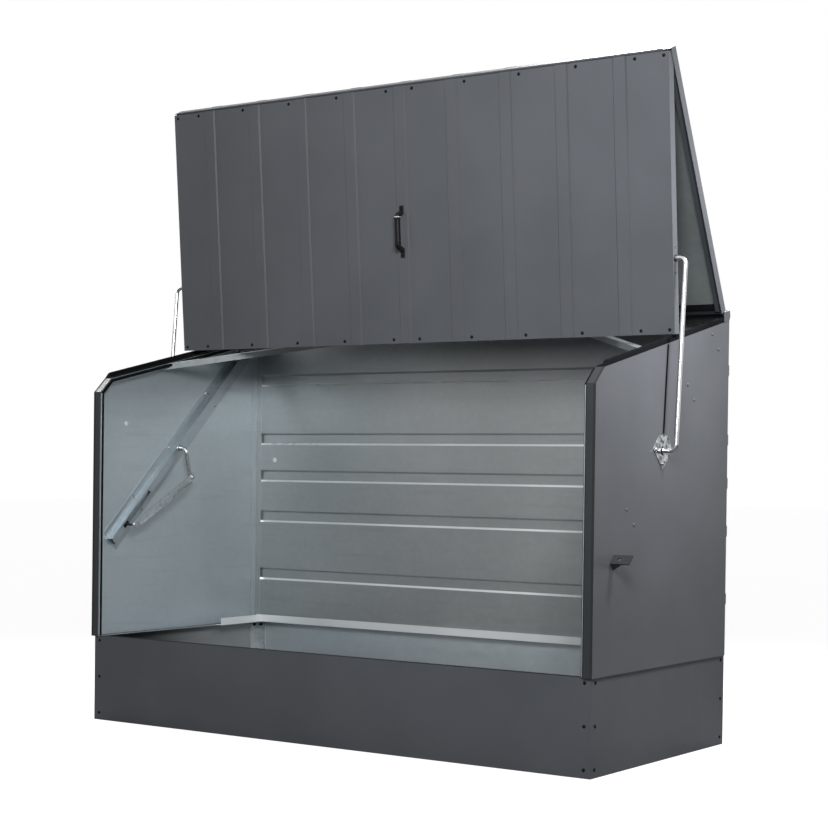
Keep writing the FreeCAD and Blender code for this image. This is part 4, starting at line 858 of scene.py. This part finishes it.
@dataclass
class Cabinet:
    """Walls, back and rails that stand on the plinth.

    The seal is the round rubber at a wall's flange, the bead lies in front of it, and the lip is the soft
    one on the wall's sloping top. seal_bends are shares of the seal's inset, by which its corners leave the
    wall's, and lip_crown holds shares of the lip's width and height. A plug's place is Y and Z on the wall,
    and X and Z on the back.
    """

    palette: Palette
    wall_half: float = 0.972
    sheet: float = 0.0015
    flange: float = 0.030
    front: float = -0.430
    front_height: float = 1.104
    chamfer_y: float = -0.381
    chamfer_z: float = 1.152
    wall_drop: float = 0.0323
    seal_radius: float = 0.005
    seal_gap: float = 0.0015
    seal_sunk: float = 0.9
    seal_foot_z: float = 0.2845
    seal_rear: float = 0.392
    seal_bends: tuple[float, float, float, float] = (0.4, 0.25, 1.1, 1.05)
    bead_radius: float = 0.0015
    bead_gap: float = 0.0002
    bead_end: float = 0.004
    lip_height: float = 0.017
    lip_width: float = 0.012
    lip_crown: tuple[tuple[float, float], ...] = (
        (0.0, 0.72), (0.15, 0.9), (0.5, 1.0), (0.85, 0.9), (1.0, 0.72))
    lip_margin: float = 0.0005
    lip_gap: float = 0.0002
    lip_foot: float = 0.0275
    lip_sole: float = 0.003
    lip_front: float = -0.770
    lip_rear: float = 0.004
    lip_slant: float = 1.3
    seal_pressed: float = 0.15
    wall_plug: tuple[float, float] = (-0.276, 1.002)
    back_plug: tuple[float, float] = (0.880, 0.885)
    back_face: float = 0.411
    brace_ends: tuple[tuple[float, float], ...] = ((0.955, -0.482), (0.448, 0.024))
    brace_face: float = -0.0358

    def build(self) -> None:
        """Dress the cabinet and add its seals, plugs, rivets and screws."""
        palette = self.palette
        dress(palette.wall, both("side_wall"))
        dress(palette.back, ("back_panel",))
        dress(palette.rear_rail, ("top_rail",))
        dress(palette.grey, ("top_rail_caps",))
        dress(palette.post, both("corner_post"))
        dress(palette.rail, (*both("floor_rail"), "floor_rail_back"))
        dress(palette.dull, both("corner_brace"))
        dress(palette.steel, ("roof_hinge_fixed_leaves", "roof_hinge_fixed_pins"))
        dress(palette.lug, both("lock_lug"))
        dress(palette.seal, both("guard_strip"))
        for side in Side:
            self.edge_seal(side)
            self.lid_seal(side)
        self.plugs()
        self.hinge_rivets()
        self.brace_screws()

    def top_of(self, y: float) -> float:
        """Height of the wall's sloping top at a depth."""
        return self.chamfer_z + (y - self.chamfer_y) * math.tan(math.radians(SLOPE.turn))

    def edge_seal(self, side: Side) -> None:
        """Add the round rubber seal along a wall's flange, and the thin bead in front of its upright part.

        Args:
            side: Side of the wall.
        """
        x = side.value * (self.wall_half - self.flange - self.seal_radius * self.seal_sunk)
        inset = self.seal_radius + self.seal_gap
        low, back, high, drop = (inset * share for share in self.seal_bends)
        path = [Vector((x, self.front + inset, self.seal_foot_z)),
                Vector((x, self.front + inset, self.front_height - low)),
                Vector((x, self.chamfer_y + back, self.chamfer_z - high)),
                Vector((x, self.seal_rear, self.top_of(self.seal_rear) - drop))]
        mesh = bmesh.new()
        add_tube(mesh, path, self.seal_radius, 12)
        add_object(side.name_of("edge_seal"), mesh, "carcass", self.palette.seal)
        y = self.front + self.bead_radius + self.bead_gap
        upright = [Vector((x, y, height)) for height in (self.seal_foot_z, self.front_height - self.bead_end)]
        mesh = bmesh.new()
        add_tube(mesh, upright, self.bead_radius, 10)
        add_object(side.name_of("edge_bead"), mesh, "carcass", self.palette.dull)

    def lid_seal(self, side: Side) -> None:
        """Add the soft lip that stands on a wall's sloping top.

        Args:
            side: Side of the wall.
        """
        outer, floor = self.wall_half - self.lip_margin, self.lip_gap - self.wall_drop
        inner, foot = outer - self.lip_width, outer - self.lip_foot
        crown = [(outer - self.lip_width * across, self.lip_height * up) for across, up in self.lip_crown]
        outline = [(outer, 0.0), *crown, (inner, self.lip_sole), (foot, self.lip_sole), (foot, 0.0)]
        placed = [(side.value * x, floor + rise) for x, rise in outline]
        mesh = bmesh.new()
        add_strip(mesh, SLOPE, placed, self.lip_front, self.lip_rear)
        start, along = SLOPE.spot(0, self.lip_front, 0), SLOPE.axis(1, 0)
        front = [vert for vert in mesh.verts if (vert.co - start).dot(along) < 1e-4]
        for vert in front:
            rise = (vert.co - SLOPE.spot(0, 0, floor)).dot(SLOPE.axis(0, 1))
            vert.co += SLOPE.axis(self.lip_slant * rise, 0.0)
        seal = add_object(side.name_of("lid_seal"), mesh, "carcass", self.palette.seal)
        tuple(SLOPE.axis(0, 1))
        tuple(SLOPE.spot(0, 0, floor))
        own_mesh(seal)

    def plugs(self) -> None:
        """Add the pale plugs in unused holes, on the inner faces of walls and back."""
        mesh = bmesh.new()
        x, height = self.back_plug
        for sign in (side.value for side in Side):
            PLUG.add(mesh, Vector((sign * (self.wall_half - self.sheet), *self.wall_plug)), -sign * X_AXIS)
            PLUG.add(mesh, Vector((sign * x, self.back_face - self.sheet, height)), Vector(FRONT))
        add_object("wall_plugs", mesh, "carcass", self.palette.pale)

    def hinge_rivets(self) -> None:
        """Add the rivets on the roof hinges' fixed leaves."""
        mesh = bmesh.new()
        add_hinge_rivets(mesh, SLOPE, RIVET_ROW)
        add_object("hinge_rivets_fixed", mesh, "carcass", self.palette.steel)

    def brace_screws(self) -> None:
        """Add the screws at the ends of the braces."""
        mesh = bmesh.new()
        for side in Side:
            for x, along in self.brace_ends:
                SCREW.add(mesh, SLOPE.spot(side.value * x, along, self.brace_face), SLOPE.axis(0, -1))
        add_object("brace_screws", mesh, "carcass", self.palette.bright)


@dataclass
class Lid:
    """Roof and door with their hinges and handle."""

    palette: Palette
    door_half: float = 0.981
    flange_middle: float = -0.015
    flange_rivets: tuple[float, float] = (-0.5755, -0.6535)
    guide_gap: float = 0.0017
    guide_thickness: float = 0.002
    guide_top: float = -0.618
    guide_bottom: float = -0.712
    guide_front: float = -0.0018
    guide_rear: float = -0.0110
    flap_half: float = 0.960
    flap_gap: float = 0.0017
    flap_thickness: float = 0.003
    flap_start: float = 0.0078
    flap_length: float = 0.030
    flap_edge: float = 0.0009
    ring_along: float = -0.4265
    ring_proud: float = 0.0006
    ring_height: float = 0.003
    grip_width: float = 0.018
    grip_face: float = 0.040
    grip_depth: float = 0.016
    grip_radius: float = 0.006

    def build(self) -> None:
        """Dress the lid and add its rivets, the slots' guides, the rubber flap and the handle's ring."""
        palette = self.palette
        dress(palette.roof, ("roof_panel",))
        # The side rails' dark grey is dark paint together with painted shade, as they lie in shade under the
        # roof's flanges.
        dress(palette.slate, both("roof_side_rail"))
        dress(palette.black, ("door_bolts", "handle_bolts"))
        dress(palette.steel, ("roof_hinge_moving_leaves", "roof_hinge_moving_pins", "door_hinge_pin"))
        dress(palette.grey, ("door_hinge_upper_leaf", "door_hinge_lower_leaf"))
        dress(palette.door, ("door_panel",))
        dress(palette.formed, ("door_bottom_rail",))
        dress(palette.moulding, ("door_handle", "arm_sockets"))
        self.hinge_rivets()
        self.door_rivets()
        self.grip_ring()
        self.hinge_flap()
        self.slot_backing()

    def hinge_rivets(self) -> None:
        """Add the rivets on the roof hinges' moving leaves."""
        mesh = bmesh.new()
        add_hinge_rivets(mesh, ROOF, -RIVET_ROW)
        add_object("hinge_rivets_moving", mesh, "roof", self.palette.steel)

    def door_rivets(self) -> None:
        """Add the rivets on the door's side flanges."""
        mesh = bmesh.new()
        for side in Side:
            for along in self.flange_rivets:
                place = DOOR.spot(side.value * self.door_half, along, self.flange_middle)
                FLANGE_RIVET.add(mesh, place, side.value * X_AXIS)
        add_object("flange_rivets", mesh, "door", self.palette.grey)

    def slot_backing(self) -> None:
        """Add the dark guides behind the slots in the door's side flanges."""
        mesh = bmesh.new()
        outer = self.door_half - self.guide_gap
        inner = outer - self.guide_thickness
        for sign in (side.value for side in Side):
            outline = [(sign * outer, self.guide_rear), (sign * inner, self.guide_rear),
                       (sign * inner, self.guide_front), (sign * outer, self.guide_front)]
            add_strip(mesh, DOOR, outline, self.guide_top, self.guide_bottom)
        add_object("slot_guides", mesh, "door", self.palette.seal)

    def hinge_flap(self) -> None:
        """Add the rubber flap that keeps rain out behind the roof's hinges; its black is partly painted shade,
        for the dark band there.
        """
        mesh = bmesh.new()
        half, near, far = self.flap_half, -self.flap_gap, -self.flap_gap - self.flap_thickness
        outline = [(-half, near), (-half, far), (half, far), (half, near)]
        add_strip(mesh, ROOF, outline, -self.flap_start, -self.flap_length)
        long_edges = [edge for edge in mesh.edges if edge.calc_length() > half]
        bmesh.ops.bevel(mesh, geom=long_edges, offset=self.flap_edge, segments=2, profile=0.5, affect="EDGES",
                        material=-1)
        add_object("hinge_flap", mesh, "roof", self.palette.seal)

    def grip_ring(self) -> None:
        """Add the pale ring round the upper end of the grip."""
        mesh = bmesh.new()
        proud, along = self.ring_proud, DOOR.axis(-1, 0)
        size = (self.grip_width + 2 * proud, self.grip_depth + 2 * proud, self.ring_height)
        centre = DOOR.spot(0.0, self.ring_along, self.grip_face - self.grip_depth / 2)
        basis = Matrix((X_AXIS, DOOR.axis(0, 1), -along)).transposed().to_4x4()
        bmesh.ops.create_cube(mesh, size=1.0,
                              matrix=Matrix.Translation(centre) @ basis @ Matrix.Diagonal((*size, 1.0)))
        corners = [edge for edge in mesh.edges
                   if abs((edge.verts[0].co - edge.verts[1].co).normalized().dot(along)) > 0.9]
        bmesh.ops.bevel(mesh, geom=corners, offset=self.grip_radius, segments=5, profile=0.5,
                        affect="EDGES", material=-1)
        caps = [face for face in mesh.faces if abs(face.normal.dot(along)) > 0.9]
        bmesh.ops.inset_region(mesh, faces=caps, thickness=proud * 0.9, use_even_offset=True)
        add_object("grip_ring", mesh, "door", self.palette.pale)


@dataclass
class Linkage:
    """Rods, links, sliders and struts on both sides."""

    palette: Palette
    pivot: tuple[float, float] = (-0.0295, 0.92185)
    rod_radius: float = 0.007
    clip_x: float = 0.9765
    clip_radius: float = 0.0112
    clip_gap: float = 0.0001
    clip_height: float = 0.0012
    clip_edge: float = 0.0003

    def build(self) -> None:
        """Dress the linkage and add the rods' clips."""
        palette = self.palette
        dress(palette.bright, (*both("lid_arm"), *both("arm_collar"), "bracket_bolts", *both("strut_rod")))
        dress(palette.bolts, ("channel_bolts",))
        dress(palette.sheet, both("assist_channel"))
        dress(palette.plate, both("arm_bracket"))
        dress(palette.formed, both("assist_link"))
        dress(palette.moulding, (*both("arm_bush"), *both("assist_slider")))
        dress(palette.black, both("strut_tube"))
        for side in Side:
            self.rod_clip(side)

    def rod_clip(self, side: Side) -> None:
        """Add the flat ring that keeps a rod in its bush.

        Args:
            side: Side of the rod.
        """
        mesh = bmesh.new()
        outline = ring_outline(self.rod_radius + self.clip_gap, self.clip_radius, self.clip_height,
                               self.clip_edge)
        add_turned(mesh, Vector((side.value * self.clip_x, *self.pivot)), side.value * X_AXIS, outline)
        add_object(side.name_of("rod_clip"), mesh, "arms", self.palette.bright)


@dataclass(frozen=True)
class Lamp:
    """Soft rectangular lamp: place, point it looks at, width and height, watts, and opening in degrees."""

    name: str
    where: Triple
    aim: Triple
    size: tuple[float, float]
    power: float
    opening: float

    def place(self) -> None:
        """Add the lamp to the scene."""
        data = bpy.data.lights.new(self.name, "AREA")
        data.shape = "RECTANGLE"
        data.size, data.size_y = self.size
        data.energy = self.power
        data.spread = math.radians(self.opening)
        lamp = bpy.data.objects.new(self.name, data)
        bpy.context.scene.collection.objects.link(lamp)
        turn = (Vector(self.aim) - Vector(self.where)).to_track_quat("-Z", "Y")
        lamp.matrix_world = Matrix.Translation(self.where) @ turn.to_matrix().to_4x4()


@dataclass
class Studio:
    """Pale floor, soft lamps and the camera; focal, width and middle are in pixels of the photograph.

    floor_grey is what the lamps light, and floor_seen is added for the camera alone.
    """

    focal: float = 1803.97
    width: float = 828.0
    middle: tuple[float, float] = (465.971, 488.9)
    where: Triple = (3.46086, -4.78652, 0.86026)
    azimuth: float = 33.8175
    pitch: float = -0.6254
    roll: float = -0.7513
    sensor: float = 36.0
    sight: float = 100.0
    world_level: float = 0.03
    floor_radius: float = 40.0
    floor_grey: Colour = (0.28, 0.28, 0.28)
    floor_seen: Colour = (0.88, 0.88, 0.88)
    lamps: tuple[Lamp, ...] = (
        Lamp("wall_lamp", (2.0, 0.0, 2.6), (1.0, 0.0, 1.35), (0.5, 0.5), 6.0, 50.0),
        Lamp("key_lamp", (2.4, -3.0, 2.4), (0.5, -0.1, 1.8), (1.0, 1.0), 58.0, 110.0),
        Lamp("front_lamp", (0.4, -4.4, 3.4), (0.0, 0.0, 1.3), (1.6, 1.4), 6.0, 120.0),
        Lamp("rear_lamp", (-1.2, 4.2, 4.6), (0.0, 0.4, 1.0), (2.0, 2.0), 80.0, 70.0),
        Lamp("left_lamp", (-4.4, 0.8, 3.0), (-1.0, 0.1, 1.0), (1.6, 1.6), 30.0, 60.0))

    def camera(self) -> None:
        """Make the camera that sees the locker as the photograph does."""
        data = bpy.data.cameras.new("camera")
        data.sensor_width = self.sensor
        data.lens = self.focal / self.width * self.sensor
        data.shift_x = (self.width / 2 - self.middle[0]) / self.width
        data.shift_y = (self.middle[1] - self.width / 2) / self.width
        data.clip_end = self.sight
        camera = bpy.data.objects.new("camera", data)
        bpy.context.scene.collection.objects.link(camera)
        bpy.context.scene.camera = camera
        turn, tip, roll = (math.radians(angle) for angle in (self.azimuth, self.pitch, self.roll))
        ahead = Vector((-math.sin(turn) * math.cos(tip), math.cos(turn) * math.cos(tip), math.sin(tip)))
        right = Vector((math.cos(turn), math.sin(turn), 0.0))
        down = ahead.cross(right)
        level = math.cos(roll) * right + math.sin(roll) * down
        lower = -math.sin(roll) * right + math.cos(roll) * down
        basis = Matrix((level, -lower, -ahead)).transposed().to_4x4()
        camera.matrix_world = Matrix.Translation(self.where) @ basis

    def lights(self) -> None:
        """Place the lamps and the world's light."""
        for lamp in self.lamps:
            lamp.place()
        world = bpy.data.worlds.new("studio")
        bpy.context.scene.world = world
        world.use_nodes = True
        graph = Graph(world.node_tree)
        seen, shiny, through = (graph.node("ShaderNodeLightPath", output=ray)
                                for ray in ("Is Camera Ray", "Is Glossy Ray", "Is Transmission Ray"))
        level = graph.node("ShaderNodeMapRange", inputs={
            "Value": seen.either(shiny.either(through)), "To Min": self.world_level})
        shade = graph.node("ShaderNodeBackground", inputs={"Color": WHITE, "Strength": level})
        output = graph.tree.nodes.new("ShaderNodeOutputWorld")
        graph.feed(output.inputs["Surface"], shade)

    def floor(self) -> None:
        """Lay the pale floor, which keeps the locker's shadow and is white to the camera."""
        mesh = bmesh.new()
        bmesh.ops.create_circle(mesh, cap_ends=True, segments=64, radius=self.floor_radius)
        data = bpy.data.meshes.new("floor")
        mesh.to_mesh(data)
        mesh.free()
        floor = bpy.data.objects.new("floor", data)
        bpy.context.scene.collection.objects.link(floor)
        graph = Surface("pale_floor")
        seen = graph.node("ShaderNodeLightPath", output="Is Camera Ray")
        graph.shade({"Base Color": self.floor_grey, "Roughness": 0.9, "Emission Strength": 1.0,
                     "Emission Color": graph.blend(seen, BLACK, self.floor_seen)})
        data.materials.append(graph.material)

    def build(self) -> None:
        """Make the stage."""
        self.camera()
        self.lights()
        self.floor()


def main() -> None:
    """Set the view, build every sub-assembly and report it."""
    logging.basicConfig(level=logging.INFO, format="%(name)s: %(message)s")
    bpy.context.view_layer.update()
    bpy.context.scene.view_settings.view_transform = "Standard"
    Studio().build()
    palette = Palette.mix()
    for part in (Plinth, Cabinet, Lid, Linkage):
        part(palette).build()


if __name__ == "__main__":
    main()
